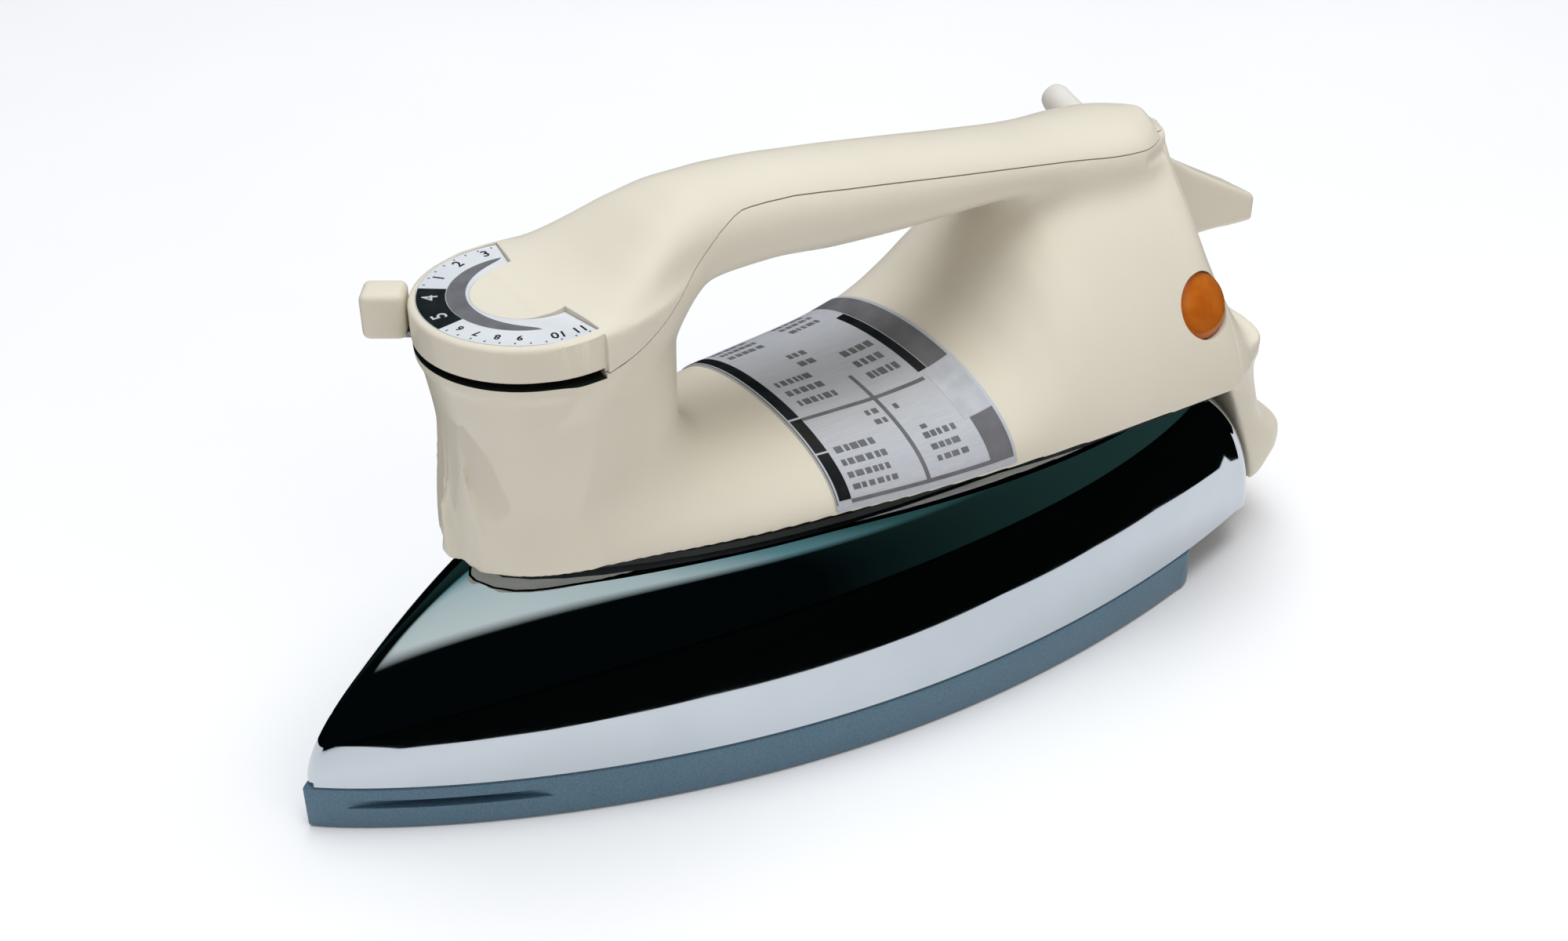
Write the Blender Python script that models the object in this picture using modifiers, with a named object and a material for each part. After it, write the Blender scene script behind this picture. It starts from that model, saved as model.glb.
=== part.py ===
"""A heavyweight electric dry iron, the kind also used to melt ski wax.

Metres, +Z up. The nose points along -Y and the heel along +Y. +X is the side that carries the pilot lamp.
The origin lies on the ironing face, under the middle of the iron's overall length.
A "station" is a distance back from the nose tip, so y = station - HALF_LENGTH.
"""

import math

import bmesh
import bpy
from mathutils import Matrix, Vector

# Driving sizes.
HALF_LENGTH = 0.1235
GAP = 0.0003
SOLE_LENGTH = 0.208
SOLE_THICKNESS = 0.0103
HALF_WIDTH = 0.0440
WIDEST_STATION = 0.140
COVER_REAR = 0.231
COVER_RIM_Z = SOLE_THICKNESS + GAP
DECK_Z = 0.0510
DECK_FRONT = 0.037
DECK_REAR = 0.209
DECK_HALF_WIDTH = 0.0385
COVER_WALL = 0.0009
BODY_BASE_Z = 0.0530
SHELL_WALL = 0.0026
DIAL_STATION = 0.0577
DIAL_RADIUS = 0.0220
CAP_TOP_Z = 0.1046
SLOT_TOP_Z = 0.0976
SLOT_BOTTOM_Z = 0.0958
SEAM_STATION = 0.2118
HEEL_CORNER_STATION = 0.200
HEEL_CORNER_POWER = 2.6
PILLAR_BASE_HALF_WIDTH = 0.0390
PILLAR_RISE = 0.0502
LEVER_REST_DEG = -33.0
BLADE_ROOT = 0.0880
STACK_REAR = 0.1040
PIN_STATION = 0.0720
CONTACT_STATION = 0.0640
BODY_NOSE = 0.0378
DIAL_FLOOR_Z = 0.1039
TIE_STATION = 0.0445
REAR_SCREW_X = 0.0220
REAR_SCREW_STATION = 0.1960
PLATE_STUD_X = 0.0130
PLATE_STUD_STATION = 0.1660
ELEMENT_RADIUS = 0.0033
ELEMENT_Z = SOLE_THICKNESS + GAP + ELEMENT_RADIUS
ELEMENT_END_X = 0.0210
ELEMENT_END_STATION = 0.1840
PLATE_BOTTOM_Z = 0.0177
PLATE_TOP_Z = 0.0275
SHIELD_Z = 0.0323
SHIELD_THICKNESS = 0.0006
GROOVE_FRONT = 0.0065
GROOVE_REAR = 0.0430
GROOVE_DEPTH = 0.0023
GROOVE_Z = (0.0052, 0.0073)
LAMP_CENTRE = Vector((0.0292, 0.2038, 0.0715))
LAMP_AXIS = Vector((0.90, 0.06, 0.43)).normalized()
GLAND_INNER = (-0.0080, 0.2042, 0.0974)
GLAND_OUTER = (-0.0290, 0.2085, 0.1000)
TERMINAL_STATION = 0.1935
LEAD_RADIUS = 0.0013

CREAM = (0.74, 0.69, 0.58)
PARTS = bpy.data.collections.new("heavy_dry_iron")
CUTTERS = bpy.data.collections.new("cutters")


# ---------------------------------------------------------------- scene and helpers


def clear_scene():
    for obj in list(bpy.data.objects):
        bpy.data.objects.remove(obj, do_unlink=True)
    bpy.context.scene.collection.children.link(PARTS)
    bpy.context.scene.collection.children.link(CUTTERS)


def material(name, color, roughness=0.5, metallic=0.0):
    found = bpy.data.materials.get(name)
    if found:
        return found
    made = bpy.data.materials.new(name)
    made.use_nodes = True
    shader = made.node_tree.nodes["Principled BSDF"]
    shader.inputs["Base Color"].default_value = (*color, 1.0)
    shader.inputs["Roughness"].default_value = roughness
    shader.inputs["Metallic"].default_value = metallic
    return made


def y_at(station):
    return station - HALF_LENGTH


def at(x, station, z):
    return Vector((x, y_at(station), z))


def add_object(name, mesh, finish=None, cutter=False):
    obj = bpy.data.objects.new(name, mesh)
    if cutter:
        CUTTERS.objects.link(obj)
        obj.hide_render = True
        obj.display_type = "WIRE"
    else:
        PARTS.objects.link(obj)
        mesh.materials.append(finish)
        smooth(mesh)
    return obj


def smooth(mesh, angle=35):
    mesh.shade_smooth()
    mesh.set_sharp_from_angle(angle=math.radians(angle))


def from_bmesh(name, bm, finish=None, cutter=False):
    bmesh.ops.recalc_face_normals(bm, faces=bm.faces)
    mesh = bpy.data.meshes.new(name)
    bm.to_mesh(mesh)
    bm.free()
    return add_object(name, mesh, finish, cutter)


def box(name, low, high, finish=None, cutter=False, bevel=0.0):
    """A box between two corners, given as (x, station, z)."""
    bm = bmesh.new()
    bmesh.ops.create_cube(bm, size=1.0)
    low, high = at(*low), at(*high)
    bmesh.ops.scale(bm, vec=high - low, verts=bm.verts)
    bmesh.ops.translate(bm, vec=(low + high) / 2, verts=bm.verts)
    if bevel:
        bmesh.ops.bevel(bm, geom=bm.edges, offset=bevel, segments=2, profile=0.5, affect="EDGES")
    return from_bmesh(name, bm, finish, cutter)


def rod(name, start, end, radius, finish=None, cutter=False, end_radius=None, sides=20, chamfer=0.0):
    """A cylinder or cone between two points, given as (x, station, z)."""
    start, end = at(*start), at(*end)
    axis = end - start
    bm = bmesh.new()
    bmesh.ops.create_cone(
        bm,
        cap_ends=True,
        segments=sides,
        radius1=radius,
        radius2=radius if end_radius is None else end_radius,
        depth=axis.length,
    )
    if chamfer:
        rims = [e for e in bm.edges if abs(e.verts[0].co.z - e.verts[1].co.z) < 1e-7]
        bmesh.ops.bevel(bm, geom=rims, offset=chamfer, segments=1, affect="EDGES")
    turn = Vector((0, 0, 1)).rotation_difference(axis).to_matrix().to_4x4()
    bmesh.ops.transform(bm, matrix=Matrix.Translation((start + end) / 2) @ turn, verts=bm.verts)
    return from_bmesh(name, bm, finish, cutter)


def upright(name, x, station, low, high, radius, finish=None, cutter=False, sides=12):
    """A vertical cylinder between two heights."""
    return rod(name, (x, station, low), (x, station, high), radius, finish, cutter, sides=sides)


def drill(obj, x, station, low, high, radius, sides=12):
    """Cuts a vertical round hole between two heights."""
    boolean(obj, upright(obj.name + "_hole", x, station, low, high, radius, cutter=True, sides=sides))


def turned(name, profile, foot, direction, finish=None, cutter=False, sides=24):
    """A solid of revolution.

    Profile is (radius, height) pairs: from the axis at the top, down the outside and back to the axis.
    """
    mesh = bpy.data.meshes.new(name)
    points = [(radius, 0.0, height) for radius, height in profile]
    mesh.from_pydata(points, [(i, i + 1) for i in range(len(points) - 1)], [])
    obj = add_object(name, mesh, finish, cutter)
    screw = obj.modifiers.new("turn", "SCREW")
    screw.axis = "Z"
    screw.steps = sides
    screw.render_steps = sides
    screw.use_merge_vertices = True
    screw.merge_threshold = 0.00001
    obj.rotation_mode = "QUATERNION"
    obj.rotation_quaternion = Vector((0, 0, 1)).rotation_difference(Vector(direction))
    obj.location = at(*foot)
    return obj


def slab(name, outline, bottom, top, finish=None, cutter=False, bevel=0.0):
    """A flat plate: a closed outline of (x, station) points between two heights."""
    bm = bmesh.new()
    face = bm.faces.new([bm.verts.new(at(x, station, bottom)) for x, station in outline])
    raised = bmesh.ops.extrude_face_region(bm, geom=[face])["geom"]
    moved = [g for g in raised if isinstance(g, bmesh.types.BMVert)]
    bmesh.ops.translate(bm, vec=(0, 0, top - bottom), verts=moved)
    if bevel:
        flat = [e for e in bm.edges if abs(e.verts[0].co.z - e.verts[1].co.z) < 1e-7]
        bmesh.ops.bevel(bm, geom=flat, offset=bevel, segments=1, affect="EDGES")
    return from_bmesh(name, bm, finish, cutter)


def profile_slab(name, outline, half_width, finish=None, cutter=False, bevel=0.0):
    """A plate standing along the middle plane: an outline of (station, z) points, extruded across X."""
    bm = bmesh.new()
    face = bm.faces.new([bm.verts.new(at(-half_width, station, z)) for station, z in outline])
    raised = bmesh.ops.extrude_face_region(bm, geom=[face])["geom"]
    moved = [g for g in raised if isinstance(g, bmesh.types.BMVert)]
    bmesh.ops.translate(bm, vec=(2 * half_width, 0, 0), verts=moved)
    if bevel:
        bmesh.ops.bevel(bm, geom=bm.edges, offset=bevel, segments=2, profile=0.5, affect="EDGES")
    return from_bmesh(name, bm, finish, cutter)


def loft(name, rings, finish=None, cutter=False, capped=True):
    """A skin over closed rings of equal length, each a list of (x, station, z) points."""
    bm = bmesh.new()
    rows = [[bm.verts.new(at(*point)) for point in ring] for ring in rings]
    count = len(rows[0])
    for lower, upper in zip(rows, rows[1:]):
        for i in range(count):
            j = (i + 1) % count
            bm.faces.new((lower[i], lower[j], upper[j], upper[i]))
    if capped:
        bm.faces.new(rows[0])
        bm.faces.new(rows[-1])
    return from_bmesh(name, bm, finish, cutter)


def tube(name, path, radius, finish, bevel_resolution=2, cyclic=False):
    """A round wire or tube along (x, station, z) points."""
    curve = bpy.data.curves.new(name, "CURVE")
    curve.dimensions = "3D"
    curve.bevel_depth = radius
    curve.bevel_resolution = bevel_resolution
    curve.use_fill_caps = True
    spline = curve.splines.new("POLY")
    spline.points.add(len(path) - 1)
    for point, place in zip(spline.points, path):
        point.co = (*at(*place), 1.0)
    spline.use_cyclic_u = cyclic
    obj = bpy.data.objects.new(name, curve)
    PARTS.objects.link(obj)
    curve.materials.append(finish)
    return obj


def boolean(obj, cutter, operation="DIFFERENCE"):
    modifier = obj.modifiers.new(operation.lower(), "BOOLEAN")
    modifier.operation = operation
    modifier.object = cutter
    modifier.solver = "EXACT"


def copied(obj, name, cutter=True):
    """A separate object with the evaluated mesh of obj."""
    graph = bpy.context.evaluated_depsgraph_get()
    mesh = bpy.data.meshes.new_from_object(obj.evaluated_get(graph))
    mesh.transform(obj.matrix_world)
    made = bpy.data.objects.new(name, mesh)
    if cutter:
        CUTTERS.objects.link(made)
        made.hide_render = True
        made.display_type = "WIRE"
    else:
        PARTS.objects.link(made)
    return made


def set_origin(obj, place):
    """Moves the object's origin to a (x, station, z) point and leaves its shape where it is."""
    offset = at(*place)
    obj.data.transform(Matrix.Translation(-offset))
    obj.location = offset


def smoothstep(low, high, value):
    t = min(1.0, max(0.0, (value - low) / (high - low)))
    return t * t * (3 - 2 * t)


def curve_through(points, value):
    """A smooth curve through (input, output) pairs: monotone pieces with flat-limited slopes."""
    if value <= points[0][0]:
        return points[0][1]
    slopes = [0.0]
    for (x0, y0), (x1, y1), (x2, y2) in zip(points, points[1:], points[2:]):
        left = (y1 - y0) / (x1 - x0)
        right = (y2 - y1) / (x2 - x1)
        slopes.append(0.0 if left * right <= 0 else 2 * left * right / (left + right))
    slopes.append(0.0)
    slopes[0] = (points[1][1] - points[0][1]) / (points[1][0] - points[0][0])
    slopes[-1] = (points[-1][1] - points[-2][1]) / (points[-1][0] - points[-2][0])
    for k in range(len(points) - 1):
        (x0, y0), (x1, y1) = points[k], points[k + 1]
        if value <= x1:
            h = x1 - x0
            t = (value - x0) / h
            return (
                y0 * (1 + 2 * t) * (1 - t) ** 2
                + slopes[k] * h * t * (1 - t) ** 2
                + y1 * t * t * (3 - 2 * t)
                + slopes[k + 1] * h * t * t * (t - 1)
            )
    return points[-1][1]


# ---------------------------------------------------------------- outlines shared by the parts


def rim_half_width(station):
    """Half the width of the sole and of the cover's rim."""
    if station < WIDEST_STATION:
        return HALF_WIDTH * (1 - (1 - station / WIDEST_STATION) ** 2) ** 0.893
    return HALF_WIDTH - 0.0147 * ((station - WIDEST_STATION) / 0.090) ** 2


def deck_half_width(station):
    """Half the width of the cover at its shoulder."""
    if station < WIDEST_STATION:
        share = (station - DECK_FRONT) / (WIDEST_STATION - DECK_FRONT)
        return DECK_HALF_WIDTH * (1 - (1 - share) ** 2) ** 0.65
    return DECK_HALF_WIDTH - 0.0088 * ((station - WIDEST_STATION) / 0.090) ** 2


def boat_outline(front, rear, width_at, corner, steps=20):
    """A closed (x, station) outline with a pointed nose and a straight heel with rounded corners."""
    side = []
    for i in range(1, steps + 1):
        station = front + (rear - corner - front) * (i / steps) ** 1.5
        side.append((width_at(station), station))
    turn_x = side[-1][0] - corner
    for k in range(1, 5):
        angle = math.radians(90 * k / 4)
        side.append((turn_x + corner * math.cos(angle), rear - corner + corner * math.sin(angle)))
    return [(0.0, front)] + side + [(-x, station) for x, station in reversed(side)]


def inset(outline, distance):
    """The outline moved inwards by a distance along its corner normals."""
    moved = []
    count = len(outline)
    for i, (x, s) in enumerate(outline):
        before = Vector(outline[i - 1])
        after = Vector(outline[(i + 1) % count])
        here = Vector((x, s))
        first = (here - before).normalized()
        second = (after - here).normalized()
        normal = Vector((-(first.y + second.y), first.x + second.x)).normalized()
        stretch = max(0.55, math.cos(0.5 * first.angle(second)))
        moved.append(tuple(here + normal * (distance / stretch)))
    return moved


def sole_outline():
    return boat_outline(0.0, SOLE_LENGTH, rim_half_width, 0.007)


def body_half_width(station):
    """Half the width of the handle body where it stands on the cover."""
    nose = BODY_NOSE
    if station < WIDEST_STATION:
        share = (station - nose) / (WIDEST_STATION - nose)
        return 0.0355 * (1 - (1 - share) ** 2) ** 0.55
    return 0.0355 + 0.0035 * smoothstep(WIDEST_STATION, 0.185, station)


def crown_height(station):
    """Height of the body's crown above its base: low under the fingers, high at the rear pillar."""
    steps = [
        (0.050, 0.0125),
        (0.125, 0.0130),
        (0.142, 0.0145),
        (0.154, 0.0195),
        (0.162, 0.0290),
        (0.169, 0.0420),
        (0.176, 0.0485),
        (0.190, 0.0505),
        (0.222, 0.0500),
    ]
    return curve_through(steps, station)


def grip_top(station):
    """Height of the ridge of the handle, from the dial cap back to the heel end."""
    steps = [
        (0.056, 0.1046),
        (0.066, 0.1072),
        (0.074, 0.1112),
        (0.083, 0.1162),
        (0.090, 0.1185),
        (0.098, 0.1192),
        (0.106, 0.1189),
        (0.122, 0.1171),
        (0.142, 0.1144),
        (0.160, 0.1117),
        (0.178, 0.1093),
        (0.200, 0.1080),
        (0.207, 0.1068),
    ]
    return curve_through(steps, station)


def grip_bottom(station):
    """Height of the underside of the grip."""
    steps = [
        (0.056, 0.0900),
        (0.080, 0.0920),
        (0.090, 0.1000),
        (0.122, 0.0979),
        (0.160, 0.0972),
        (0.207, 0.0950),
    ]
    return curve_through(steps, station)


def grip_half_width(station):
    steps = [
        (0.056, 0.0214),
        (0.067, 0.0208),
        (0.078, 0.0170),
        (0.085, 0.0142),
        (0.095, 0.0132),
        (0.122, 0.0130),
        (0.160, 0.0120),
        (0.180, 0.0126),
        (0.192, 0.0138),
        (0.200, 0.0128),
        (0.205, 0.0098),
        (0.2085, 0.0040),
    ]
    return curve_through(steps, station)


def parting_z(station):
    """Height of the line where the top cover meets the handle body."""
    steps = [
        (0.062, 0.0967),
        (0.073, 0.1000),
        (0.078, 0.1022),
        (0.083, 0.1055),
        (0.088, 0.1095),
        (0.093, 0.1132),
        (0.099, 0.1154),
        (0.106, 0.1153),
        (0.122, 0.1134),
        (0.160, 0.1078),
        (0.180, 0.1052),
        (0.200, 0.1032),
        (0.215, 0.1022),
    ]
    return curve_through(steps, station)


def pillar_half_width(z):
    """Half the width of the rear pillar at a height."""
    share = min(1.0, max(0.0, (z - BODY_BASE_Z) / PILLAR_RISE))
    return PILLAR_BASE_HALF_WIDTH * (1 - share**1.5) ** (1 / 1.5)


def heel_rear(z):
    """Station of the rear face of the heel at a height."""
    steps = [
        (0.0530, 0.2308),
        (0.0580, 0.2274),
        (0.0620, 0.2244),
        (0.0660, 0.2217),
        (0.0700, 0.2193),
        (0.0750, 0.2168),
        (0.0800, 0.2152),
        (0.0850, 0.2144),
        (0.0900, 0.2139),
        (0.0990, 0.2134),
    ]
    return curve_through(steps, z)


# ---------------------------------------------------------------- the handle's outer form


def corner_envelope(name, shrink=0.0, steps=10):
    """Everything in front of the heel's rounded rear corners."""
    rings = []
    for z in (0.045, 0.0530, 0.0590, 0.0650, 0.0700, 0.0750, 0.0800, 0.0850, 0.0900, 0.0950, 0.1010):
        level = max(z, BODY_BASE_Z)
        half = max(pillar_half_width(level), 0.0080) - shrink + 0.0003
        depth = heel_rear(level) - shrink - HEEL_CORNER_STATION
        ring = [(-0.060, 0.010, z), (0.060, 0.010, z), (0.060, HEEL_CORNER_STATION - 0.0004, z)]
        for i in range(2 * steps + 1):
            angle = math.pi * i / (2 * steps)
            across = math.copysign(abs(math.cos(angle)) ** (2 / HEEL_CORNER_POWER), math.cos(angle))
            back = depth * math.sin(angle) ** (2 / HEEL_CORNER_POWER)
            ring.append((half * across, HEEL_CORNER_STATION + back, z))
        ring.append((-0.060, HEEL_CORNER_STATION - 0.0004, z))
        rings.append(ring)
    rings.append([(x, s, 0.140) for x, s, _ in rings[-1]])
    return loft(name, rings, cutter=True)


def arch(station, half, base, height, power, lean, count=16):
    """An arch-shaped section standing across the iron at a station."""
    ring = []
    for i in range(count + 1):
        angle = math.pi * i / count
        side = math.copysign(abs(math.cos(angle)) ** (2 / power), math.cos(angle))
        rise = height * max(0.0, math.sin(angle)) ** (2 / power)
        ring.append((half * side, station - lean * rise, base + rise))
    return ring


def superellipse(station, half, low, high, power, count=20):
    """A closed section across the iron between two heights."""
    ring = []
    for i in range(count):
        angle = 2 * math.pi * i / count
        across = math.copysign(abs(math.cos(angle)) ** (2 / power), math.cos(angle))
        upward = math.copysign(abs(math.sin(angle)) ** (2 / power), math.sin(angle))
        ring.append((half * across, station, (low + high) / 2 + (high - low) / 2 * upward))
    return ring


def egg(z, front, rear, half, point, count=28):
    """A closed level section of the column. point above 1 draws the front out into a nose."""
    ring = []
    middle = DIAL_STATION
    for i in range(count):
        angle = 2 * math.pi * i / count
        along = -math.cos(angle)
        reach = (middle - front) if along < 0 else (rear - middle)
        width = abs(math.sin(angle)) ** (point if along < 0 else 1.0)
        ring.append((half * math.copysign(width, math.sin(angle)), middle + reach * along, z))
    return ring


# Height, front station, half width, and how far the front is drawn out, from the foot of the column up.
COLUMN_LEVELS = (
    (BODY_BASE_Z, 0.0378, 0.0166, 1.35),
    (0.060, 0.0381, 0.0182, 1.30),
    (0.072, 0.0382, 0.0199, 1.20),
    (0.080, 0.0382, 0.0205, 1.12),
    (0.089, 0.0372, 0.0210, 1.05),
    (SLOT_TOP_Z, 0.0360, 0.0217, 1.0),
)
COLUMN_REAR = 0.0868
GRIP_STATIONS = (0.057, 0.062, 0.067, 0.072, 0.078, 0.084, 0.090)
GRIP_STATIONS += (0.097, 0.106, 0.122, 0.142, 0.160, 0.178, 0.192)


def outer_form(name, shrink=0.0):
    """Base, column, grip and cap joined into one solid. shrink draws every wall inwards."""
    stations = (0.0384, 0.040, 0.043, 0.048, 0.055, 0.066, 0.079, 0.093, 0.110, 0.128, 0.142, 0.150)
    stations += (0.156, 0.161, 0.166, 0.171, 0.177, 0.186, 0.200, 0.212, 0.218)
    floor = BODY_BASE_Z - (0.004 if shrink else 0.0)
    rings = []
    for station in stations:
        moved = station + shrink if station < 0.055 else station
        lean = 0.13 * smoothstep(0.170, 0.212, station)
        power = 2.0 - 0.5 * smoothstep(0.150, 0.175, station)
        height = crown_height(station) - shrink + BODY_BASE_Z - floor
        rings.append(arch(moved, body_half_width(station) - shrink, floor, height, power, lean))
    form = loft(name, rings, cutter=True)
    boolean(form, corner_envelope(name + "_corners", shrink), "INTERSECT")

    column = []
    for z, front, half, point in COLUMN_LEVELS:
        low = z - (0.004 if shrink and z == BODY_BASE_Z else 0.0)
        column.append(egg(low, front + shrink, COLUMN_REAR - shrink, half - shrink, point))
    boolean(form, loft(name + "_column", column, cutter=True), "UNION")

    grip = []
    for station in GRIP_STATIONS:
        power = 2.15 + 1.3 * (1 - smoothstep(0.070, 0.095, station))
        low, high = grip_bottom(station) + shrink, grip_top(station) - shrink
        grip.append(superellipse(station, grip_half_width(station) - shrink, low, high, power))
    for station in (0.200, 0.205, 0.2085):
        low, high = grip_bottom(station) + shrink, grip_top(station) - shrink
        half = max(0.0012, grip_half_width(station) - shrink)
        grip.append(superellipse(station - shrink, half, low, high, 2.4))
    boolean(form, loft(name + "_grip", grip, cutter=True), "UNION")

    radius = DIAL_RADIUS - shrink
    top = CAP_TOP_Z - shrink
    foot = SLOT_TOP_Z - 0.002
    cap_profile = [(0, top), (radius - 0.0014, top), (radius - 0.0004, top - 0.0005)]
    cap_profile += [(radius, top - 0.0014), (radius - 0.0003, foot), (0, foot)]
    cap = turned(name + "_cap", cap_profile, (0, DIAL_STATION, 0), (0, 0, 1), cutter=True, sides=40)
    boolean(form, cap, "UNION")
    return form


def parting_cutter(name, above, offset):
    """Everything above or below the parting line, offset by half the seam's gap."""
    stations = [0.020, 0.062, 0.068, 0.073, 0.078, 0.083, 0.088, 0.093, 0.099, 0.106, 0.122, 0.142, 0.160]
    stations += [0.180, 0.200, 0.230]
    line = [(station, parting_z(station) + offset) for station in stations]
    edge = 0.140 if above else 0.040
    outline = line + [(stations[-1], edge), (stations[0], edge)]
    return profile_slab(name, outline, 0.060, cutter=True)


def slot_cutter(name, low, high):
    """The sweep of the selector's slot: a ring over the front of the dial, open well past its sides."""
    outline = []
    for i in range(25):
        angle = math.radians(-104 + 208 * i / 24)
        outline.append((0.030 * math.sin(angle), DIAL_STATION - 0.030 * math.cos(angle)))
    outline += [(0.0035, DIAL_STATION + 0.004), (-0.0035, DIAL_STATION + 0.004)]
    return slab(name, outline, low, high, cutter=True)


def build_handle():
    cream = material("cream_moulding", CREAM, 0.38)
    outer = outer_form("outer_form")
    inner = outer_form("inner_form", SHELL_WALL)
    bpy.context.view_layer.update()

    top = copied(outer, "top_cover", cutter=False)
    top.data.materials.clear()
    top.data.materials.append(cream)
    boolean(top, copied(inner, "top_hollow"))
    boolean(top, parting_cutter("below_parting", False, GAP / 2))
    boolean(top, slot_cutter("slot_for_cover", 0.080, SLOT_TOP_Z))
    recess = slab("dial_recess", crescent(0.0123, 0.0207, 105), DIAL_FLOOR_Z, 0.120, cutter=True)
    boolean(top, recess)

    body = copied(outer, "handle_body", cutter=False)
    body.data.materials.clear()
    body.data.materials.append(cream)
    boolean(body, copied(inner, "body_hollow"))
    boolean(body, parting_cutter("above_parting", True, -GAP / 2))
    boolean(body, slot_cutter("slot_for_body", SLOT_BOTTOM_Z, 0.120))
    boolean(body, box("behind_seam", (-0.060, SEAM_STATION, 0.040), (0.060, 0.240, 0.1010), cutter=True))
    boolean(body, rod("lamp_hole", along_lamp(-0.012), along_lamp(0.010), 0.0062, cutter=True, sides=28))
    boolean(body, rod("lamp_seat", along_lamp(-0.0006), along_lamp(0.010), 0.00755, cutter=True, sides=28))
    boolean(body, rod("gland_hole", GLAND_INNER, GLAND_OUTER, 0.0038, cutter=True))
    front_boss = upright("front_boss", 0, TIE_STATION, BODY_BASE_Z, 0.066, 0.0052, cutter=True, sides=20)
    boolean(body, front_boss, "UNION")
    drill(body, 0, TIE_STATION, 0.050, 0.0626, 0.0027)
    for side in (-1, 1):
        x = side * REAR_SCREW_X
        boss = upright("rear_boss", x, REAR_SCREW_STATION, BODY_BASE_Z, 0.0615, 0.0046, cutter=True)
        boolean(body, boss, "UNION")
        inner, outer = sorted((x, side * 0.0345))
        web = box("rear_web", (inner, 0.1945, BODY_BASE_Z), (outer, 0.1975, 0.0600), cutter=True)
        boolean(body, web, "UNION")
        drill(body, x, REAR_SCREW_STATION, 0.050, 0.0600, 0.0023)
    rib = box("bearing_rib", (-0.0192, 0.0515, 0.0800), (0.0192, 0.0640, 0.0835), cutter=True)
    boolean(body, rib, "UNION")
    drill(body, 0, DIAL_STATION, 0.070, 0.0940, 0.0045, sides=20)


def along_lamp(distance):
    """A (x, station, z) point on the pilot lamp's axis."""
    return tuple(LAMP_CENTRE + LAMP_AXIS * distance)


def crescent(inner, outer, half_angle, steps=20):
    """A ring sector about the dial's centre, open towards the heel, as (x, station) points."""
    angles = [math.radians(-half_angle + 2 * half_angle * i / steps) for i in range(steps + 1)]
    ring = [(outer * math.sin(a), DIAL_STATION - outer * math.cos(a)) for a in angles]
    ring += [(inner * math.sin(a), DIAL_STATION - inner * math.cos(a)) for a in reversed(angles)]
    return ring


# ---------------------------------------------------------------- covers and trim on the handle


def build_dial_scale():
    silver = material("dial_scale_print", (0.72, 0.74, 0.76), 0.35, 0.4)
    slab("dial_scale", crescent(0.0126, 0.0204, 104), DIAL_FLOOR_Z + GAP, CAP_TOP_Z, silver)


def build_rating_label():
    """A thin aluminium plate bent over the crown in front of the rear pillar."""
    aluminium = material("label_plate", (0.66, 0.68, 0.70), 0.3, 0.7)
    bm = bmesh.new()
    rows = []
    for i in range(8):
        station = 0.108 + 0.042 * i / 7
        half = body_half_width(station) + 0.0004
        height = crown_height(station) + 0.0005
        section = arch(station, half, BODY_BASE_Z, height, 2.0, 0.0, 26)[2:-2]
        rows.append([bm.verts.new(at(*point)) for point in section])
    for lower, upper in zip(rows, rows[1:]):
        for i in range(len(lower) - 1):
            bm.faces.new((lower[i], upper[i], upper[i + 1], lower[i + 1]))
    bmesh.ops.recalc_face_normals(bm, faces=bm.faces)
    if sum(face.normal.z for face in bm.faces) < 0:
        bmesh.ops.reverse_faces(bm, faces=bm.faces)
    mesh = bpy.data.meshes.new("rating_label")
    bm.to_mesh(mesh)
    bm.free()
    label = add_object("rating_label", mesh, aluminium)
    wall = label.modifiers.new("thickness", "SOLIDIFY")
    wall.thickness = 0.0004
    wall.offset = 1.0


def heel_foot_ring(z, front, rear, half, steps=8):
    """A level section of the heel's foot: a straight front edge and squarish rear corners."""
    ring = []
    for i in range(2 * steps + 1):
        angle = math.pi * i / (2 * steps)
        across = math.copysign(abs(math.cos(angle)) ** 0.5, math.cos(angle))
        ring.append((half * across, front + (rear - front) * math.sin(angle) ** 0.5, z))
    return ring


def heel_cover_ring(z, shrink=0.0, steps=8):
    """A level section of the cover behind the seam, following the rear corners of the handle."""
    front = SEAM_STATION + GAP
    depth = heel_rear(z) - shrink - HEEL_CORNER_STATION
    half = pillar_half_width(z) - shrink
    reach = (front - HEEL_CORNER_STATION) / depth
    widest = math.acos(min(1.0, reach ** (HEEL_CORNER_POWER / 2)))
    ring = []
    for i in range(2 * steps + 1):
        angle = widest * (1 - i / steps)
        across = math.copysign(abs(math.sin(angle)) ** (2 / HEEL_CORNER_POWER), angle)
        back = depth * math.cos(angle) ** (2 / HEEL_CORNER_POWER)
        ring.append((half * across, HEEL_CORNER_STATION + back, z))
    return ring


def heel_rings():
    """Level sections of the heel cover, from the tip of its foot up to its top edge."""
    foot = (
        (0.0130, 0.2338, 0.2375, 0.0258),
        (0.0165, 0.2325, 0.2420, 0.0266),
        (0.0205, 0.2310, 0.2465, 0.0268),
        (0.0240, 0.2296, 0.2470, 0.0268),
        (0.0280, 0.2280, 0.2415, 0.0266),
        (0.0310, 0.2267, 0.2385, 0.0266),
        (0.0410, 0.2222, 0.2345, 0.0270),
        (0.0500, 0.2165, 0.2318, 0.0290),
        (0.0528, 0.2150, 0.2312, 0.0310),
    )
    rings = [heel_foot_ring(*level) for level in foot]
    for z in (0.0534, 0.0590, 0.0650, 0.0700, 0.0750, 0.0800, 0.0850, 0.0900, 0.0945, 0.0985):
        rings.append(heel_cover_ring(z))
    return rings


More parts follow.
